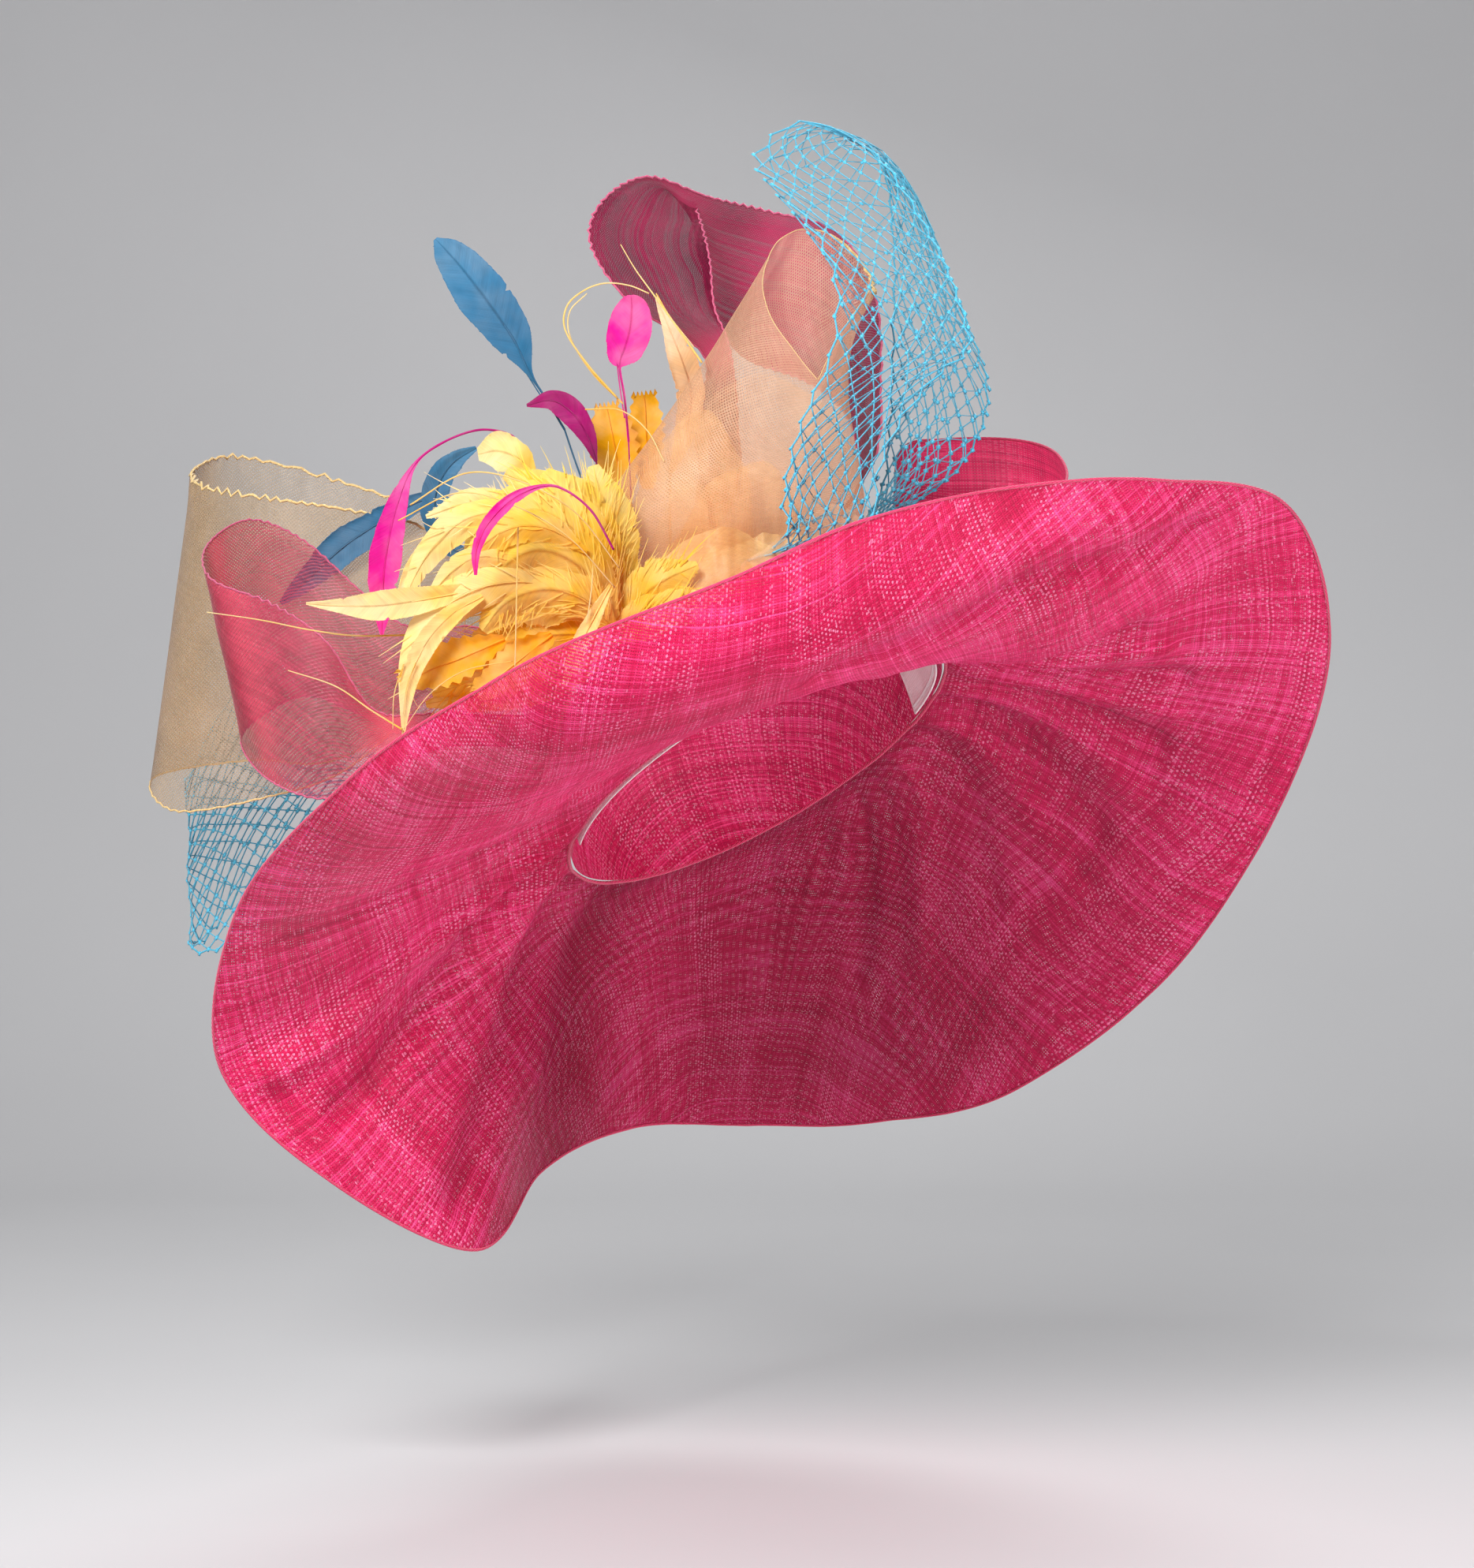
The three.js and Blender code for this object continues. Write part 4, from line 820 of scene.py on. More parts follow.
def brim_surface(n, m):
    deg = BRIM[0]["at"] + 360 * np.arange(n) / n
    p0 = opening(deg, 1.7)
    c, s = np.cos(np.radians(deg)), np.sin(np.radians(deg))
    g = {k: around(BRIM, k, deg) for k in ("rimX", "rimY", "rimZ", "out1", "up1", "in2", "up2")}
    p3 = np.stack([g["rimX"], g["rimY"], g["rimZ"]], -1)
    p1 = p0 + np.stack([c * g["out1"], s * g["out1"], g["up1"]], -1)
    h = unit((p3 - p0)[:, :2])
    p2 = p3 + np.stack([-h[:, 0] * g["in2"], -h[:, 1] * g["in2"], g["up2"]], -1)
    t = np.linspace(0, 1, m)[None, :, None]
    P = ((1 - t) ** 3 * p0[:, None] + 3 * (1 - t) ** 2 * t * p1[:, None]
         + 3 * (1 - t) * t**2 * p2[:, None] + t**3 * p3[:, None])
    return deg, t[0, :, 0], P


def normals(P, ring=True):
    du = (np.roll(P, -1, 0) - np.roll(P, 1, 0)) if ring else np.gradient(P, axis=0)
    dv = np.gradient(P, axis=1)
    return unit(np.cross(du, dv))


n, m = 432, 84
deg, share, P = brim_surface(n, m)
N = normals(P)
lift = np.zeros((n, m))
# fine gathers that fan out from the opening, and the straw's slow unevenness
fan = noise1((deg % 360) * 0.21, 4)[:, None] * 1.3 + noise1((deg % 360) * 0.47, 5)[:, None] * 0.7
lift += fan * np.exp(-((share[None, :] - 0.18) / 0.26) ** 2)
lift += 0.9 * noise2(P[:, :, 0] / 34, P[:, :, 2] / 34, 6) * smooth(share, 0.05, 0.3)[None, :]
reach = np.concatenate([np.zeros((n, 1)), np.cumsum(np.linalg.norm(np.diff(P, axis=1), axis=2), axis=1)], 1) + 98
plan = np.stack([reach * np.cos(np.radians(deg))[:, None], reach * np.sin(np.radians(deg))[:, None]], -1)
for row in CREASES:
    at = np.array(row["line"], float)
    u = np.linspace(0, len(at) - 1, 8 * len(at))
    at = spline(at, u)
    i = np.round((at[:, 0] - deg[0]) % 360 / 360 * n).astype(int) % n
    j = np.clip(np.round(at[:, 1] * (m - 1)).astype(int), 0, m - 1)
    line = plan[i, j]
    gap = np.full((n, m), 1e9)
    for q in range(len(line) - 1):
        e = line[q + 1] - line[q]
        t = np.clip(((plan - line[q]) @ e) / max(e @ e, 1e-9), 0, 1)
        gap = np.minimum(gap, np.linalg.norm(plan - line[q] - t[..., None] * e, axis=2))
    lift += row["high"] * np.exp(-((gap / row["wide"]) ** 2))
lift *= smooth(share, -0.02, 0.06)[None, :] * (1 - 0.75 * smooth(share, 0.9, 1.0))[None, :]
P = P + N * lift[:, :, None]
seg = np.concatenate([np.zeros((n, 1)), np.cumsum(np.linalg.norm(np.diff(P, axis=1), axis=2), axis=1)], 1)
R = 98 + seg
flat = np.stack([R * np.cos(np.radians(deg))[:, None], R * np.sin(np.radians(deg))[:, None]], -1)
# the straw lies more open where the brim turns up in front and in the left lobe
d_front = (deg[:, None] - 243 + 180) % 360 - 180
d_left = (deg[:, None] - 203 + 180) % 360 - 180
opened = (0.62 * np.exp(-((d_front / 24) ** 2)) * smooth(share, 0.58, 0.90)[None, :]
          + 0.30 * np.exp(-((d_left / 14) ** 2)) * smooth(share, 0.45, 0.7)[None, :])
# painted shade: the brim is marked for painted shade at the nape, in the left fold, near the crown and in the hollows
# of the creases, where shade falls
def bell(at, wide):
    return np.exp(-((((deg[:, None] - at + 180) % 360 - 180) / wide) ** 2))


brim_painted_shade = (0.75 * bell(62, 42) * (1 - 0.5 * smooth(share, 0.0, 0.25)[None, :] * 0) * (1 - 0.35 * smooth(share, 0.85, 1.0)[None, :])
         + 0.85 * bell(135, 17) + 0.35 * bell(100, 25) + 0.30 * (1 - smooth(share, 0.0, 0.14))[None, :])
# more painted shade in the hollows of the creases
brim_painted_shade += 0.35 * np.maximum(0, -lift / 5.0)
brim = mesh("brim_cloth", P, grid_quads(n, m, ring=True), flat=flat, values={"open": np.clip(opened, 0, 1), "density_and_painted_light": np.clip(brim_painted_shade, 0, 1)})
finish_piece(brim, MAT["sinamay"], "sinamay", "brim")


def sheet_area(Q, ring=False):
    A, B = Q, np.roll(Q, -1, 0)
    if not ring:
        A, B = A[:-1], B[:-1]
    return 0.5 * float(np.linalg.norm(np.cross(B[:, 1:] - A[:, :-1], A[:, 1:] - B[:, :-1]), axis=2).sum()) / 1e6


area = 0.5 * np.linalg.norm(np.cross(np.roll(P, -1, 0)[:, 1:] - P[:, :-1], P[:, 1:] - np.roll(P, -1, 0)[:, :-1]), axis=2).sum() / 1e6
print("brim area m2", area, "flat ring", math.pi * ((98 + seg[:, -1].mean()) ** 2 - 98**2) / 1e6)

edge = Pile()
rim = np.concatenate([P[:, -1], P[:1, -1]])
turns = np.arange(len(rim))
edge.tube(rim + N[np.arange(len(rim)) % n, -1] * 0.2, 0.70 + 0.12 * noise1(turns * 0.3, 9), sides=8)
rolled = finish_piece(edge.build("brim_rolled_edge"), MAT["edge"], "sinamay")

inner = np.concatenate([P[:, 0], P[:1, 0]])
seam = Pile()
seam.tube(inner, 1.0, sides=6)
finish_piece(seam.build("opening_seam"), MAT["edge"], "sinamay")

# crown
hs = np.concatenate([np.linspace(0, 0.80, 26), 1 - (1 - np.linspace(0.80, 0.9992, 18)[1:])]) * CROWN_HEIGHT
cdeg = np.arange(0, 360, 1.5)
base = opening(cdeg, -0.2)
h = hs / CROWN_HEIGHT
scale = np.sqrt(np.maximum(1 - h**CROWN_FULLNESS, 0)) * (1 - CROWN_TAPER * h)
CP = base[:, None] * scale[None, :, None] + LEAN[None, None, :] * hs[None, :, None]
cseg = np.concatenate([np.zeros((len(cdeg), 1)), np.cumsum(np.linalg.norm(np.diff(CP, axis=1), axis=2), axis=1)], 1)
cr = cseg.max(1, keepdims=True) - cseg
cflat = np.stack([cr * np.cos(np.radians(cdeg))[:, None], cr * np.sin(np.radians(cdeg))[:, None]], -1)
quads = grid_quads(len(cdeg), len(hs), ring=True)
tip = len(cdeg) * len(hs)
tops = [[i * len(hs) + len(hs) - 1, ((i + 1) % len(cdeg)) * len(hs) + len(hs) - 1, tip] for i in range(len(cdeg))]
pts = np.vstack([CP.reshape(-1, 3), LEAN * CROWN_HEIGHT])
crown = mesh("crown_cloth", pts, quads, tops, flat=np.vstack([cflat.reshape(-1, 2), [[0, 0]]]), values={"open": np.zeros(len(pts))})
finish_piece(crown, MAT["sinamay"], "sinamay", "crown")
print("crown area", sheet_area(CP, True))

# head strip, with its pale double edge
sdeg = np.linspace(186, 382, 150)
rise = np.linspace(0, 1, 12)
top_cut = np.tan(np.radians(22)) * 38
SP = []
for k, d in enumerate(sdeg):
    row = []
    for r in rise:
        dd = d - (smooth(sdeg[k], 360, 382) * r * 8.0)
        hgt = 38 * r
        sc = np.sqrt(max(1 - (hgt / CROWN_HEIGHT) ** CROWN_FULLNESS, 0)) * (1 - CROWN_TAPER * hgt / CROWN_HEIGHT)
        row.append(opening(np.array(dd), -3.0) * sc + LEAN * hgt)
    SP.append(row)
SP = np.array(SP)
sflat = np.stack([np.repeat((sdeg * 1.7)[:, None], len(rise), 1), np.repeat((rise * 38)[None], len(sdeg), 0)], -1)
strip = mesh("head_strip_cloth", SP, grid_quads(len(sdeg), len(rise)), flat=sflat)
finish_piece(strip, MAT["strip"], "strip", "head_strip")
hem = Pile()
for j in (0, 1):
    hem.tube(SP[:, j] + unit(SP[:, j]) * -0.3, 0.55, sides=6)
hem.tube(SP[-1], 0.55, sides=6)
hemmed = finish_piece(hem.build("head_strip_hem"), MAT["strip"], "strip")
print("strip area", sheet_area(SP))

# ---------------------------------------------------------------- ribbon loops
def ribbon(name, rows, material, slot, thread, frill=(0.0, 0.0), pitch=7.0, across=26, wave=0.0, density_and_painted_sheen_at=(), thick=(0.55, 0.55), steps=14, seed=1, node=None):
    """A wide ribbon between two edges. frill: how far each edge stands up and down in small waves."""
    A = np.array([[r["ax"], r["ay"], r["az"]] for r in rows])
    B = np.array([[r["bx"], r["by"], r["bz"]] for r in rows])
    count = (len(rows) - 1) * steps + 1
    u = np.linspace(0, len(rows) - 1, count)
    a, b = spline(A, u), spline(B, u)
    v = np.linspace(0, 1, across)
    Q = a[:, None] * (1 - v)[None, :, None] + b[:, None] * v[None, :, None]
    Nn = normals(Q, ring=False)
    mid = 0.5 * (a + b)
    arc = np.concatenate([[0], np.cumsum(np.linalg.norm(np.diff(mid, axis=0), axis=1))])
    arc_a = np.concatenate([[0], np.cumsum(np.linalg.norm(np.diff(a, axis=0), axis=1))])
    arc_b = np.concatenate([[0], np.cumsum(np.linalg.norm(np.diff(b, axis=0), axis=1))])
    width = np.linalg.norm(a - b, axis=1)
    lift = wave * noise2(arc[:, None] / 26, v[None, :] * 3.1, seed) * np.sin(np.pi * v)[None, :]
    stretch = np.zeros_like(lift)
    for side, amp, ar in ((0, frill[0], arc_a), (1, frill[1], arc_b)):
        near = np.exp(-((v - side) * width.mean() / 7.0) ** 2)
        phase = 2 * np.pi * ar / pitch + 1.3 * noise1(ar / 19, seed + 3)
        amount = amp * (0.65 + 0.5 * noise1(ar / 23, seed + 5))
        lift = lift + (amount * 0.8 * np.sin(phase + 1.0))[:, None] * near[None, :]
        stretch = stretch + (amount * np.sin(phase))[:, None] * np.exp(-((v - side) * width.mean() / 5.0) ** 2)[None, :]
    ends = smooth(u, 0, 0.8) * (1 - smooth(u, len(rows) - 1.8, len(rows) - 1))
    lift *= ends[:, None]
    Q = Q + Nn * lift[:, :, None] + unit(a - b)[:, None] * (stretch * ends[:, None])[:, :, None]
    flat = np.stack([np.repeat(arc[:, None], across, 1), v[None, :] * np.maximum(width, 60)[:, None]], -1)
    # gathered places and both roots are marked: crinoline is more opaque there and painted with a brighter sheen, straw
    # is painted with darker shade
    density_and_painted_light = np.zeros((count, across))
    for at, spread, amount in density_and_painted_sheen_at:
        density_and_painted_light += amount * np.exp(-(((u - at) / spread) ** 2))[:, None]
    root = 1 - smooth(u, 0, 1.4) + smooth(u, len(rows) - 2.4, len(rows) - 1)
    density_and_painted_light += 0.9 * root[:, None]
    o = mesh(name, Q, grid_quads(count, across), flat=flat, values={"density_and_painted_light": np.clip(density_and_painted_light, 0, 1), "open": np.zeros((count, across))})
    finish_piece(o, material, slot, *([node] if node else []))
    t = Pile()
    for side, r in ((0, thick[0]), (-1, thick[1])):
        if r:
            t.tube(Q[:, side], r, sides=5)
    threads = None
    if thread is not None and any(thick):
        threads = finish_piece(t.build(name + "_edge"), thread, slot)
    area = 0.5 * np.linalg.norm(np.cross(Q[1:, 1:] - Q[:-1, :-1], Q[1:, :-1] - Q[:-1, 1:]), axis=2).sum() / 1e6
    print("ribbon", name, "length", round(float(arc[-1])), "widest", round(float(width.max())), "area m2", round(float(area), 4))
    return o, threads, Q


loops = {}
loops["crinoline_loop_left"] = ribbon("crinoline_loop_left_cloth", LOOPS["crinoline_loop_left"], MAT["peach"], "crinoline_peach", MAT["gold_thread"],
    frill=(1.7, 0.4), pitch=6.5, wave=1.0, density_and_painted_sheen_at=((5.6, 0.35, 0.9), (6.6, 0.4, 0.35)), thick=(0.75, 0.55), seed=11, node="crinoline_loop_left")
loops["ribbon_loop_left"] = ribbon("ribbon_loop_left_cloth", LOOPS["ribbon_loop_left"], MAT["magenta"], "crinoline_magenta", MAT["magenta_thread"],
    frill=(0.8, 0.4), pitch=5.0, wave=1.6, density_and_painted_sheen_at=((5.8, 0.30, 0.8), (7.4, 0.35, 0.5), (10.2, 0.5, 0.8)), thick=(0.5, 0.5), seed=12, node="ribbon_loop_left")
loops["ribbon_loop_top"] = ribbon("ribbon_loop_top_cloth", LOOPS["ribbon_loop_top"], MAT["plum"], "crinoline_magenta", MAT["magenta_thread"],
    frill=(0.8, 0.8), pitch=5.0, wave=1.6, density_and_painted_sheen_at=((3.0, 0.4, 0.7), (7.5, 0.6, 0.5), (9.5, 0.8, 0.4)), thick=(0.6, 0.6), seed=13, node="ribbon_loop_top")
loops["sinamay_loop"] = ribbon("sinamay_loop_cloth", LOOPS["sinamay_loop"], MAT["open"], "sinamay_open", MAT["edge"],
    wave=1.2, thick=(0.7, 0.7), seed=14, node="sinamay_loop")

# each ribbon laid flat: its widest width, its length, and its area, as it narrows to both ends
for name, wide, long, cut_area, root in (("crinoline_loop_left", 0.168, 0.53, 0.0525, "crown"), ("ribbon_loop_left", 0.099, 0.42, 0.0217, "crown"),
                                         ("ribbon_loop_top", 0.081, 0.61, 0.0184, "crown"), ("sinamay_loop", 0.054, 0.324, 0.0105, "crown")):
    cloth, thread, Q = loops[name]
    print(name, sheet_area(Q))

# ---------------------------------------------------------------- cornet
CORNET_DIP, CORNET_DIP_AT, CORNET_DIP_LEFT, CORNET_DIP_RIGHT, CORNET_DIP_SHARPNESS = 2.1, -55, 125, 28, 1.2


def cornet_rings(rows, around_n, steps, shrink=0.0):
    R = np.array([[r["leftX"], r["leftZ"], r["rightX"], r["rightZ"], r["midY"], r["halfY"], r["backUp"]] for r in rows], float)
    a = 2 * np.pi * np.arange(around_n) / around_n
    off = (np.degrees(a) - CORNET_DIP_AT + 180) % 360 - 180
    near = 1 - np.abs(off) / np.where(off < 0, CORNET_DIP_LEFT, CORNET_DIP_RIGHT)
    top = CORNET_DIP * np.maximum(near, 0) ** CORNET_DIP_SHARPNESS
    s = np.linspace(0, 1, steps)
    Q = np.zeros((around_n, steps, 3))
    for i in range(around_n):
        u = top[i] + (len(rows) - 1 - top[i]) * s
        r = spline(R, u)
        mx, mz = 0.5 * (r[:, 0] + r[:, 2]), 0.5 * (r[:, 1] + r[:, 3])
        hx, hz = 0.5 * (r[:, 2] - r[:, 0]), 0.5 * (r[:, 3] - r[:, 1])
        ln = np.hypot(hx, hz)
        k = 1 - shrink / ln
        Q[i, :, 0] = mx + hx * k * np.cos(a[i])
        Q[i, :, 2] = mz + hz * k * np.cos(a[i]) + r[:, 6] * max(0.0, math.sin(a[i])) ** 1.3
        Q[i, :, 1] = r[:, 4] + (r[:, 5] - shrink) * np.sin(a[i])
    return a, s, Q


a, s, Q = cornet_rings(CORNET, 220, 80, shrink=0.6)
Nn = normals(Q)
lift = 1.4 * noise2(np.cos(a)[:, None] * 3 + 9, s[None, :] * 4 + np.sin(a)[:, None] * 2, 21)
pleat = 1.6 * np.sin(a * 9)[:, None] * smooth(s, 0.45, 1.0)[None, :]
hem = np.exp(-(((a - 0.55 + np.pi) % (2 * np.pi) - np.pi) / 0.9) ** 4)  # the selvedge shows at the right of the mouth
edge_wave = (1.8 * hem * np.sin(a * 34 + 1.5 * np.sin(a * 3)))[:, None] * np.exp(-((s / 0.05) ** 2))[None, :]
Q = Q + Nn * (lift + pleat + edge_wave)[:, :, None]
girth = np.linalg.norm(np.diff(Q, axis=0, append=Q[:1]), axis=2).sum(0).mean()
high = np.linalg.norm(np.diff(Q, axis=1), axis=2).sum(1).mean()
flat = np.stack([np.repeat((a / (2 * np.pi) * girth)[:, None], len(s), 1), np.repeat((s * high)[None], len(a), 0)], -1)
# the lower part and the back seam are marked denser: more opaque, and painted with the brighter glow colour as a
# painted sheen
density_and_painted_light = np.repeat(smooth(s, 0.35, 0.9)[None] * 0.45, len(a), 0) + 0.5 * np.exp(-(((a - np.pi) / 0.25) ** 2))[:, None]
cornet = mesh("cornet_cloth", Q, grid_quads(len(a), len(s), ring=True), flat=flat, values={"density_and_painted_light": np.clip(density_and_painted_light, 0, 1)})
finish_piece(cornet, MAT["cornet"], "crinoline_peach", "crinoline_cornet")
area = 0.5 * np.linalg.norm(np.cross(np.roll(Q, -1, 0)[:, 1:] - Q[:, :-1], Q[:, 1:] - np.roll(Q, -1, 0)[:, :-1]), axis=2).sum() / 1e6
print("cornet girth", girth, "high", high, "highest", np.linalg.norm(np.diff(Q, axis=1), axis=2).sum(1).max(), "widest", np.linalg.norm(np.diff(Q, axis=0, append=Q[:1]), axis=2).sum(0).max(), "area", area)
frill = Pile()
frill.tube(np.concatenate([Q[:, 0], Q[:1, 0]]), 0.25 + 0.55 * np.append(hem, hem[0]), sides=5)
frilled = finish_piece(frill.build("cornet_frilled_edge"), MAT["gold_thread"], "crinoline_peach")

# crumpled organza gathered inside the cornet and round its foot: each sheet between a top and a bottom line
ORGANZA = [dict(zip(("gold", "fold", "teeth", "top", "low"), row)) for row in (
    (0, 4, 0, ((-21.5, -8, 187.9), (0.4, -8, 199.9), (28.2, -8, 187.9), (50.1, -10, 163.8)), ((-63.2, -14, 90.0), (-23.5, -12, 96.1), (16.3, -10, 106.2), (58.1, -8, 116.2))),
    (1, 9, 0.5, ((-62.7, -30, 130.4), (-47.8, -30, 161.9), (-23.4, -28, 177.9), (-3.7, -30, 146.2)), ((-73.7, -52, 70.4), (-46.5, -50, 74.4), (-23.2, -48, 80.4), (0.1, -46, 90.2))),
    (1, 7, 0.5, ((-42.8, -44, 109.8), (-21.3, -42, 141.2), (6.0, -40, 149.2), (23.6, -42, 121.7)), ((-46.3, -62, 70.0), (-15.4, -58, 79.8), (11.7, -56, 87.7), (38.9, -52, 99.6))),
    (1, 4, 0.4, ((-61.6, -66, 88.3), (-34.7, -64, 108.5), (-9.6, -62, 117.1), (9.7, -62, 104.7)), ((-61.3, -76, 59.8), (-30.7, -74, 69.4), (-3.8, -72, 78.8), (26.9, -70, 90.8))),
    (0, 3, 0.3, ((-7.7, -66, 96.8), (15.5, -64, 115.4), (38.7, -62, 127.9), (52.6, -60, 123.4)), ((-11.5, -76, 75.1), (11.5, -74, 84.8), (34.6, -72, 95.6), (56.2, -68, 107.4))),
)]

for k, row in enumerate(ORGANZA):
    top, low = np.array(row["top"], float), np.array(row["low"], float)
    u = np.linspace(0, len(top) - 1, 120)
    a, b = spline(top, u), spline(low, u * (len(low) - 1) / (len(top) - 1))
    v = np.linspace(0, 1, 40)
    Q = a[:, None] * (1 - v)[None, :, None] + b[:, None] * v[None, :, None]
    x, z = Q[:, :, 0], Q[:, :, 2]
    fold = row["fold"] * (noise2(x / 19 + z / 55, z / 60, 31 + k) + 0.45 * noise2(x / 8 + z / 30, z / 32, 41 + k) + 0.2 * noise2(x / 3.5, z / 14, 51 + k))
    Q[:, :, 1] += fold
    arc = np.concatenate([[0], np.cumsum(np.linalg.norm(np.diff(a, axis=0), axis=1))])
    saw = row["teeth"] * np.abs(((arc / 7.0) % 1) - 0.5) * 2
    Q[:, :, 2] -= (saw + 2.5 * noise1(arc / 17, 61 + k))[:, None] * np.exp(-((v / 0.10) ** 2))[None, :]
    flat = np.stack([np.repeat(arc[:, None], len(v), 1), np.repeat((v * 80)[None], len(arc), 0)], -1)
    # random denser patches: more opaque, and painted with the brighter glow colour as a painted sheen
    density_and_painted_light = 0.35 + 0.5 * noise2(x / 16 + z / 40, z / 45, 71 + k)
    o = mesh("organza_fold_%d" % (k + 1), Q, grid_quads(len(arc), len(v)), flat=flat, values={"density_and_painted_light": np.clip(density_and_painted_light, 0, 1)})
    finish_piece(o, MAT["organza" if row["gold"] else "pale_organza"], "crinoline_peach")

# ---------------------------------------------------------------- netting
def netting(name, rows, columns, cell, node, leaves=((0.0, 0.0, 8, 0.30),), knot=1.75):
    """Diamond netting laid on a ribbon-shaped path: smooth strands that cross at square knots."""
    A = np.array([[r["ax"], r["ay"], r["az"]] for r in rows])
    B = np.array([[r["bx"], r["by"], r["bz"]] for r in rows])
    fine = np.linspace(0, len(rows) - 1, 900)
    mid = 0.5 * (spline(A, fine) + spline(B, fine))
    arc = np.concatenate([[0], np.cumsum(np.linalg.norm(np.diff(mid, axis=0), axis=1))])
    count = int(arc[-1] / (cell * 0.5)) // 2 * 2
    pile = Pile()
    for inward, phase, columns, radius in leaves:
        uu = np.interp(np.clip(np.linspace(0, arc[-1], count) + phase * cell, 0, arc[-1]), arc, fine)
        a, b = spline(A, uu), spline(B, uu)
        tangent = unit(np.gradient(0.5 * (a + b), axis=0))
        across = unit(b - a)
        out = np.cross(across, tangent)
        fade = smooth(uu, 0, 1.2) * (1 - smooth(uu, len(rows) - 2.2, len(rows) - 1))
        v = (np.arange(columns)[None, :] + 0.5 * (np.arange(count)[:, None] % 2) + phase) / (columns - 0.5 + abs(phase))
        v = np.clip(v + 0.025 * np.sin(v * 9 + uu[:, None] * 0.9), 0.012, 0.988)
        ripple = (1.0 * np.sin(v * 13 + uu[:, None] * 1.1) + inward * np.sin(np.pi * v)) * fade[:, None]
        K = a[:, None] * (1 - v)[..., None] + b[:, None] * v[..., None] + out[:, None] * ripple[..., None]
        for i in range(count - 1):
            for j in range(columns):
                for k in ((j, j - 1) if i % 2 == 0 else (j, j + 1)):
                    if 0 <= k < columns:
                        pile.tube([K[i, j], K[i + 1, k]], radius, sides=4)
        for side in (0, -1):
            pile.tube(K[:, side], radius * 1.5, sides=5)
        for i in range(count):
            for j in range(columns):
                c = K[i, j]
                x, y, z = across[i] * knot * 0.85, tangent[i] * knot, out[i] * knot * 0.35
                pile.add([c + x, c - x, c + y, c - y, c + z, c - z],
                         tris=[[0, 2, 4], [2, 1, 4], [1, 3, 4], [3, 0, 4], [2, 0, 5], [1, 2, 5], [3, 1, 5], [0, 3, 5]], shade=0.5, hue=0.0, along=0.5)
    o = pile.build(name)
    finish_piece(o, MAT["net"], "net", node)
    print("net", name, "rows", count, "triangles", sum(len(p.vertices) - 2 for p in o.data.polygons))
    return o


netting("veil_top_net", LOOPS["veil_top"], 7, 16.0, "veil_top", leaves=((0.0, 0.0, 8, 0.36), (-19.0, 0.5, 4, 0.26)), knot=1.9)
netting("veil_left_net", LOOPS["veil_left"], 11, 12.5, "veil_left", leaves=((0.0, 0.0, 11, 0.36),), knot=1.9)

# ---------------------------------------------------------------- feathers
def centre_line(rows, count, smooth_end=True):
    C = np.array([[r["x"], r["y"], r["z"]] for r in rows], float)
    H = np.array([[r["half"]] for r in rows], float)
    u = np.linspace(0, len(rows) - 1, 400)
    c = spline(C, u)
    arc = np.concatenate([[0], np.cumsum(np.linalg.norm(np.diff(c, axis=0), axis=1))])
    at = np.linspace(0, arc[-1], count)
    uu = np.interp(at, arc, u)
    return spline(C, uu), np.maximum(spline(H, uu)[:, 0], 0.25), arc[-1]


def vane(pile, c, half, length, rng, face=(0, -1, 0), spacing=0.9, lean=0.62, cup=0.18, tear=0.25, first=0.0, hue=0.0, shaft=0.55, ragged=0.10, droop=0.0, segs=3):
    """A feather on its centre line c: a tapering shaft, and barbs that leave it forward and lie side by side."""
    count = len(c)
    d = unit(np.gradient(c, axis=0))
    face = np.asarray(face, float)
    side = unit(np.cross(d, face))
    up = np.cross(side, d)
    pile.tube(c, np.linspace(shaft, 0.14, count), sides=5, shade=0.35, hue=hue)
    n = max(int(length / spacing), 8)
    for sgn in (-1, 1):
        clump = 0.0
        for k in range(n):
            t = (k + 0.5) / n
            if t < first:
                continue
            x = t * (count - 1)
            i = min(int(x), count - 2)
            f = x - i
            w = half[i] * (1 - f) + half[i + 1] * f
            if w < 0.5:
                continue
            if rng.random() < 0.10 * tear * 4:
                clump = rng.uniform(-1, 1) * tear
            base = c[i] * (1 - f) + c[i + 1] * f
            dd, ss, nn = d[i], side[i] * sgn, up[i]
            # how far forward the barb ends, and how wide it reaches there
            reach = w * (1 + rng.normal(0, ragged))
            fwd = reach * lean * (1 + clump * 0.6)
            x2 = min(x + fwd / length * (count - 1), count - 1)
            i2 = min(int(x2), count - 2)
            f2 = x2 - i2
            w2 = half[i2] * (1 - f2) + half[i2 + 1] * f2
            reach = min(reach, max(w2 * (1 + rng.normal(0, ragged)) * 1.15 + 0.3, 0.4))
            q = np.linspace(0, 1, segs + 1)
            path = (base + np.outer(q, ss) * reach + np.outer(q**1.35, dd) * fwd
                    + np.outer(q**2, nn) * (cup * reach * (1 + 0.3 * clump)) + np.outer(q**2, [0, 0, -1.0]) * droop * reach)
            pd = unit(np.gradient(path, axis=0))
            sd = unit(np.cross(pd, nn))
            wd = np.linspace(0.70, 0.30, segs + 1) * spacing * (1.0 if segs < 4 else 0.8)
            pile.strip(path, sd, wd, shade=rng.uniform(-1, 1) * 0.5 + clump, hue=hue + rng.normal(0, 0.25), t0=t * 0.6)
    return pile


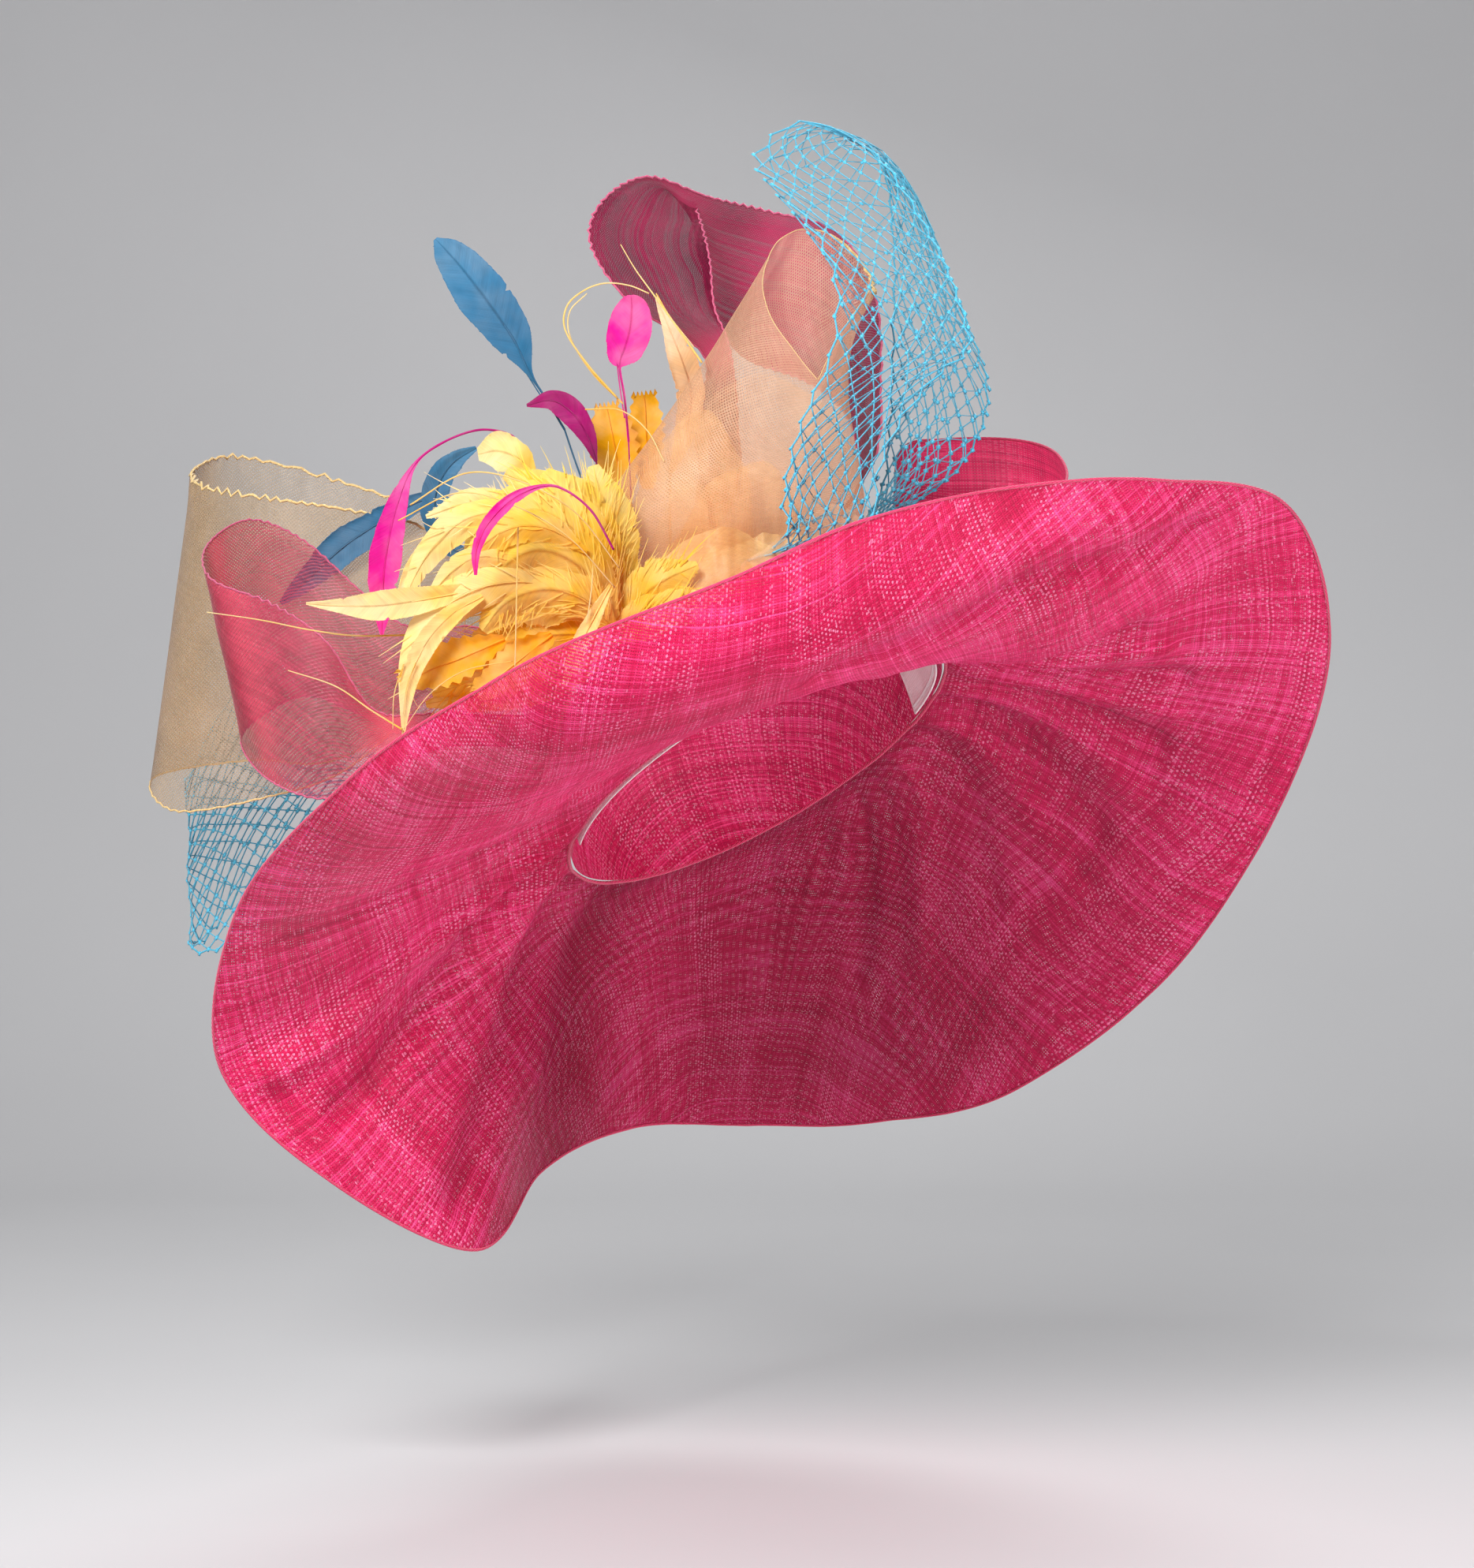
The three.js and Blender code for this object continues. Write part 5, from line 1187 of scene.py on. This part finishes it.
def blade(pile, c, half, length, rng, hue=0.0, cup=0.22, lean=0.9, fuzz=0.6, ragged=0.03, shaft=0.55, splits=1, lift=0.0, droop=0.0, seed=0):
    """A smooth feather: a web of barbs on each side of the shaft, with a fine uneven edge and short loose barb ends."""
    k = len(c)
    d = unit(np.gradient(c, axis=0))
    side = unit(np.cross(d, [0.0, -1.0, 0.0]))
    up = np.cross(side, d)
    s = np.linspace(0, 1, k)
    v = np.concatenate([np.linspace(-1, 0, 11), np.linspace(0, 1, 11)])
    w = np.zeros((k, 22))
    for sgn, cols in ((-1, slice(0, 11)), (1, slice(11, 22))):
        e = half * (1 + ragged * noise1(s * length / 1.6, seed + 3 * sgn) + 2 * ragged * noise1(s * length / 7.0, seed + 9 + sgn))
        for q in range(splits):
            at = 0.3 + 0.55 * ((seed * 0.37 + q * 0.29 + (sgn > 0) * 0.41) % 1)
            e = e * (1 - 0.22 * np.exp(-(((s - at) / (0.8 / length)) ** 2)) * (half > 1.2))
        w[:, cols] = e[:, None]
    vw = v[None, :] * w
    G = c[:, None] + side[:, None] * vw[:, :, None]
    relief = cup * np.abs(vw) ** 1.3 * 0.6 + 0.35 * noise2(s[:, None] * length / 6, np.abs(v)[None, :] * 2 + 7, seed + 1) * (half / half.max())[:, None] + 0.18 * np.maximum(half, 0.5)[:, None] * noise2(s[:, None] * 3.2, v[None, :] * 1.3 + 3, seed + 2)
    G = G + up[:, None] * relief[:, :, None]
    bend = np.abs(vw) * droop
    G[:, :, 2] -= bend
    flat = np.stack([np.abs(vw), ((s * length)[:, None] - np.abs(vw) * lean) * 0.22], -1)
    tone = 0.5 * noise1(((s * length)[:, None] - np.abs(vw) * lean) / 2.3, seed + 4)
    pile.add(G, np.concatenate([grid_quads(k, 22)]), flat=flat, shade=tone.ravel(), hue=hue, along=np.repeat(s, 22))
    pile.tube(c + up * 0.25, np.linspace(shaft, 0.14, k), sides=5, shade=0.45, hue=hue)
    if fuzz > 0:
        n = int(length / 0.8)
        for sgn, col in ((-1, 0), (1, 21)):
            for q in range(n):
                x = rng.uniform(0.12, 0.99) * (k - 1)
                i = int(x)
                if half[i] < 0.8:
                    continue
                p = G[i, col]
                out = unit(side[i] * sgn + d[i] * lean * rng.uniform(0.6, 1.4) + up[i] * rng.normal(0, 0.25))
                size = fuzz * rng.uniform(0.4, 1.6)
                t = np.linspace(0, 1, 4)
                path = p - out * 0.6 + np.outer(t, out) * size + np.outer(t**2, rng.normal(0, 0.25, 3)) * size
                pile.strip(path, unit(np.cross(unit(np.gradient(path, axis=0)), up[i])), np.linspace(0.32, 0.08, 4), shade=rng.uniform(-0.3, 0.5), hue=hue, t0=0.5)


rng = np.random.default_rng(7)
FEATHER_LOOK = {
    "feather_blue_tall": ("blue", "feather_blue", 0.02), "feather_blue_left": ("blue", "feather_blue", 0.03), "feather_blue_curl": ("blue", "feather_blue", 0.03),
    "feather_magenta": ("pink", "feather_pink", 0.02), "feather_pink_curved": ("pink", "feather_pink", 0.03), "feather_pink_oval": ("pink", "feather_pink", 0.01),
    "feather_purple": ("purple", "feather_purple", 0.02), "feather_peach": ("peach_feather", "feather_cream", 0.04),
    "petal_pale_round": ("cream", "feather_cream", 0.03), "feather_horn_left": ("cream", "feather_cream", 0.02), "feather_horn_down": ("cream", "feather_cream", 0.02),
    "feather_pale_outer": ("cream", "feather_cream", 0.03), "feather_diagonal": ("cream", "feather_cream", 0.03),
}
for k, (name, (look, slot, ragged)) in enumerate(FEATHER_LOOK.items()):
    c, half, length = centre_line(FEATHERS[name], 110)
    if name == "feather_pink_oval":
        half = np.maximum(0.6, 11.0 * np.sqrt(np.maximum(0, 1 - ((c[:, 2] - c[-1, 2] + 18.0) / 18.2) ** 2)))
    pile = Pile()
    blade(pile, c, half, length, rng, ragged=ragged, seed=60 + 7 * k, shaft=0.2 if "oval" in name else 0.5, fuzz=0.45, splits=1 if length > 60 and "oval" not in name else 0)
    finish_piece(pile.build(name + "_web"), MAT[look], slot, name)


def cut_petal(pile, rows, teeth, depth, hue, seed):
    """A feather trimmed with pinking shears: a web of barbs with a toothed edge."""
    c, half, length = centre_line(rows, 70)
    d = unit(np.gradient(c, axis=0))
    side = unit(np.cross(d, [0, -1.0, 0]))
    up = np.cross(side, d)
    s = np.linspace(0, 1, len(c))
    v = np.linspace(-1, 1, 25)
    half = np.maximum(half, 7.0 * smooth(s, 0, 0.35))
    saw = np.abs(((s * teeth) % 1) - 0.5) * 2
    edge_l = half * (1 - depth * saw)
    edge_r = half * (1 - depth * np.roll(saw, 2))
    w = np.where(v[None, :] < 0, edge_l[:, None], edge_r[:, None])
    G = c[:, None] + side[:, None] * (v[None, :] * w)[:, :, None]
    end_saw = (np.abs(((v * teeth * 0.3) % 1) - 0.5) * 2 * 3.5)[None, :] * smooth(s, 0.9, 1.0)[:, None]
    G = G - d[:, None] * end_saw[:, :, None] + up[:, None] * ((1.6 * v[None, :] ** 2 + 1.1 * noise2(s[:, None] * 4, v[None, :] * 2 + 5, seed)))[:, :, None]
    flat = np.stack([(s * length)[:, None] - np.abs(v)[None, :] * w * 0.8, v[None, :] * w], -1)
    k = G.shape[0] * G.shape[1]
    pile.add(G, grid_quads(*G.shape[:2]), flat=flat[..., ::-1], shade=0.1 + 0.3 * noise2(s[:, None] * 9, v[None, :] * 3, seed + 1).ravel(), hue=hue, along=np.repeat(s, len(v)))
    pile.tube(c[:-4] + up[:-4] * 0.4, np.linspace(0.6, 0.2, len(c) - 4), sides=5, shade=0.6, hue=hue)


for name, look, slot, teeth, seed in (("petal_gold_left", "amber", "feather_gold", 9, 51), ("petal_gold_right", "amber", "feather_gold", 9, 52),
                                      ("petal_toothed_lower", "orange", "feather_gold", 9, 53), ("petal_toothed_right", "orange", "feather_gold", 9, 54)):
    pile = Pile()
    cut_petal(pile, FEATHERS[name], teeth, 0.22, 0.0, seed)
    finish_piece(pile.build(name + "_web"), MAT[look], slot, name)

# ---------------------------------------------------------------- the feather flower
PADS = [dict(zip(("look", "fuzz", "loose", "points"), row)) for row in (
    ("gold", 1, 1.5, ((-67.7, -58.0, 70.2, 11.6), (-94.6, -62.3, 93.1, 20.1), (-119.6, -63.8, 108.5, 21.6), (-142.8, -62.3, 112.5, 13.1))),
    ("gold", 1, 1.5, ((-67.6, -60.9, 73.9, 10.0), (-71.2, -66.6, 104.4, 13.9), (-75.0, -68.1, 127.4, 13.9), (-80.1, -66.6, 146.8, 5.4))),
    ("gold", 1, 1, ((-67.4, -65.2, 77.6, 9.3), (-86.4, -72.4, 115.6, 13.1), (-103.5, -75.3, 132.6, 13.0), (-122.8, -73.8, 142.3, 5.4))),
    ("gold", 1, 1, ((-67.3, -68.1, 75.5, 9.2), (-80.4, -78.2, 111.3, 13.8), (-91.7, -81.0, 130.2, 13.8), (-103.3, -79.6, 142.6, 5.4))),
    ("orange", 1, 0.6, ((-77.0, -68.1, 50.5, 7.7), (-103.7, -71.0, 40.8, 10.0), (-134.5, -71.0, 35.0, 9.2), (-161.5, -69.5, 30.0, 3.1))),
    ("orange", 1, 0.6, ((-74.9, -72.4, 56.1, 7.7), (-99.6, -76.7, 49.4, 11.5), (-130.2, -76.7, 43.3, 10.7), (-158.1, -73.8, 34.9, 3.1))),
    ("orange", 1, 0.6, ((-72.8, -76.7, 63.6, 8.4), (-99.3, -82.5, 63.0, 12.2), (-127.8, -83.9, 58.3, 11.4), (-156.0, -79.6, 47.8, 3.1))),
    ("gold", 1.2, 1, ((-71.2, -68.1, 67.8, 8.5), (-55.6, -73.8, 82.9, 12.3), (-42.2, -75.3, 91.6, 11.5), (-28.8, -73.8, 97.8, 3.8))),
    ("gold", 1.2, 1, ((-73.7, -73.8, 62.5, 8.4), (-55.5, -78.2, 71.2, 10.7), (-42.1, -78.2, 77.7, 9.9), (-29.1, -76.7, 83.9, 3.8))),
    ("cream", 1, 0.6, ((-93.8, -78.2, 103.7, 6.1), (-118.4, -82.5, 121.7, 8.4), (-139.5, -81.0, 127.2, 7.6), (-160.7, -78.2, 120.9, 1.9))),
    ("gold", 1.2, 1.4, ((-68.3, -73.8, 75.2, 9.2), (-83.1, -85.4, 107.0, 15.2), (-102.8, -88.2, 122.1, 16.7), (-121.9, -86.8, 120.3, 13.7), (-135.1, -83.9, 106.4, 4.6))),
    ("gold", 1.2, 1.4, ((-68.9, -78.2, 71.2, 9.9), (-84.5, -89.7, 94.6, 17.5), (-104.8, -92.6, 103.5, 19.0), (-123.2, -91.1, 94.5, 15.9), (-134.8, -88.2, 76.4, 5.3))),
    ("gold", 1.4, 1.6, ((-69.5, -82.5, 67.2, 9.2), (-85.1, -92.6, 80.7, 15.2), (-103.2, -94.7, 84.4, 16.7), (-120.8, -92.6, 78.1, 14.4), (-132.4, -89.0, 65.0, 5.3))),
    ("cream", 0.35, 0.12, ((-102.8, -88.2, 115.2, 3.0), (-121.6, -91.1, 121.8, 6.8), (-141.3, -91.8, 118.0, 8.4), (-156.6, -90.4, 104.8, 7.2), (-166.0, -87.5, 89.8, 4.9), (-170.8, -85.4, 77.3, 1.1))),
    ("cream", 0.35, 0.12, ((-94.3, -91.1, 85.8, 5.3), (-113.8, -95.4, 88.2, 9.1), (-133.4, -96.9, 85.1, 10.6), (-150.9, -95.4, 75.3, 10.2), (-162.5, -92.6, 59.1, 8.3), (-168.5, -89.7, 39.1, 5.7), (-170.3, -86.8, 17.5, 1.1))),
    ("cream", 0.35, 0.12, ((-115.9, -91.8, 98.2, 3.8), (-132.0, -94.7, 100.3, 6.1), (-144.9, -94.7, 95.0, 5.7), (-154.9, -92.6, 84.5, 3.4), (-159.7, -90.4, 74.4, 1.1))),
    ("gold", 0.8, 0.3, ((-81.7, -93.3, 102.7, 3.8), (-98.6, -96.2, 113.1, 7.6), (-115.6, -96.9, 114.6, 8.3), (-130.8, -95.4, 106.4, 6.8), (-140.5, -93.3, 91.3, 4.2), (-144.4, -91.1, 78.2, 1.1))),
)]



def pad_from(row):
    c, half, length = centre_line([dict(zip(("x", "y", "z", "half"), p)) for p in row["points"]], 90)
    shape = np.sin(np.pi * np.clip(np.linspace(0.04, 1, len(c)) * 0.90, 0, 1)) ** 0.55
    return c, half * shape, length


piles = {}
for k, row in enumerate(PADS):
    c, half, length = pad_from(row)
    pile = piles.setdefault(row["look"], Pile())
    blade(pile, c, half, length, rng, hue=rng.normal(0, 0.3), cup=-0.30, lean=1.3, fuzz=row["fuzz"], ragged=0.02, shaft=0.35, splits=1, seed=200 + 11 * k)
    # barbs that lie loose on the pad
    d = unit(np.gradient(c, axis=0))
    side = unit(np.cross(d, [0.0, -1.0, 0.0]))
    up = np.cross(side, d)
    for q in range(int(length * row["loose"])):
        i = int(rng.uniform(0.05, 0.9) * (len(c) - 1))
        sweep = rng.random() < 0.5
        sgn = rng.choice([-1.0, 1.0])
        at = rng.uniform(0.0, 0.8) * half[i]
        p = c[i] + side[i] * sgn * at - up[i] * (0.18 * at ** 1.3 - 0.6)
        out = unit(side[i] * sgn * (0.45 if sweep else 1.0) + d[i] * rng.uniform(0.6, 1.3) + up[i] * rng.uniform(-0.1, 0.15))
        size = rng.uniform(12, 24) if sweep else rng.uniform(5, 10)
        t = np.linspace(0, 1, 5)
        path = p + np.outer(t, out) * size - np.outer(t**2, up[i]) * size * 0.16 + np.outer(t**2, rng.normal(0, 0.10, 3)) * size
        pile.strip(path, unit(np.cross(unit(np.gradient(path, axis=0)), up[i])), np.linspace(0.36, 0.08, 5), shade=rng.uniform(-0.5, 0.7), hue=rng.normal(0, 0.3), t0=0.4)

first = True
for look, pile in piles.items():
    o = pile.build("flower_" + look)
    finish_piece(o, MAT[look], "feather_cream" if look == "cream" else "feather_gold", *(["feather_flower"] if first else []))
    first = False

# ---------------------------------------------------------------- thin quills
for name, row in QUILLS.items():
    pts = np.array([p[:3] for p in row["points"]], float)
    u = np.linspace(0, len(pts) - 1, 12 * len(pts))
    c = spline(pts, u)
    pile = Pile()
    pile.tube(c, np.linspace(row["r0"], row["r1"], len(c)), sides=5)
    finish_piece(pile.build("quill_" + name), MAT[row["look"]], row["slot"])

# ---------------------------------------------------------------- floor, light and camera
FLOOR_Z = -0.372


def studio():
    y = np.concatenate([np.linspace(-2.2, 1.3, 20), 1.3 + 0.9 * np.sin(np.linspace(0, math.pi / 2, 24))[1:]])
    z = np.concatenate([np.zeros(20), 0.9 * (1 - np.cos(np.linspace(0, math.pi / 2, 24)))[1:]]) + FLOOR_Z
    y, z = np.append(y, y[-1]), np.append(z, 3.2)
    x = np.linspace(-3.5, 3.5, 8)
    G = np.stack(np.broadcast_arrays(x[:, None], y[None], z[None]), -1) / MM
    o = mesh("studio_floor", G, grid_quads(len(x), len(y)))
    M = Mat("studio_paper")
    c = M.noise(M.node("ShaderNodeTexCoord").outputs["Object"], 2.0, 3.0)
    s = principled(M, M.mix(c, (0.60, 0.60, 0.61), (0.66, 0.66, 0.67)), 0.75)
    o.data.materials.append(M.output(s.outputs[0]))


studio()


def area_light(name, place, look, size, power, color=(1, 1, 1)):
    l = bpy.data.lights.new(name, "AREA")
    l.shape, l.size, l.size_y, l.energy, l.color = "RECTANGLE", size[0], size[1], power, color
    o = bpy.data.objects.new(name, l)
    bpy.context.scene.collection.objects.link(o)
    o.location = place
    o.rotation_euler = (Vector(look) - Vector(place)).to_track_quat("-Z", "Y").to_euler()


area_light("key", (-0.55, -1.35, 0.80), (0.0, -0.05, 0.02), (0.55, 0.55), 40)
area_light("fill", (1.35, -1.10, -0.16), (0.08, 0, 0.0), (0.7, 0.7), 23)
area_light("back", (0.5, 1.2, 1.5), (0.0, 0, 0.1), (1.4, 0.9), 18)
world = bpy.data.worlds.new("world")
bpy.context.scene.world = world
world.use_nodes = True
world.node_tree.nodes["Background"].inputs[0].default_value = (0.88, 0.89, 0.92, 1)
world.node_tree.nodes["Background"].inputs[1].default_value = 0.19
bpy.context.scene.view_settings.view_transform = "Standard"

cam = bpy.data.cameras.new("camera")
cam.sensor_fit, cam.sensor_width, cam.lens = "HORIZONTAL", 36.0, 36.0 * 4500 / 1869
cam.clip_start, cam.clip_end = 0.05, 50
camera = bpy.data.objects.new("camera", cam)
bpy.context.scene.collection.objects.link(camera)
camera.location = (-0.0098, -1.8, -0.0088)
camera.rotation_euler = (math.pi / 2, 0, 0)
bpy.context.scene.camera = camera
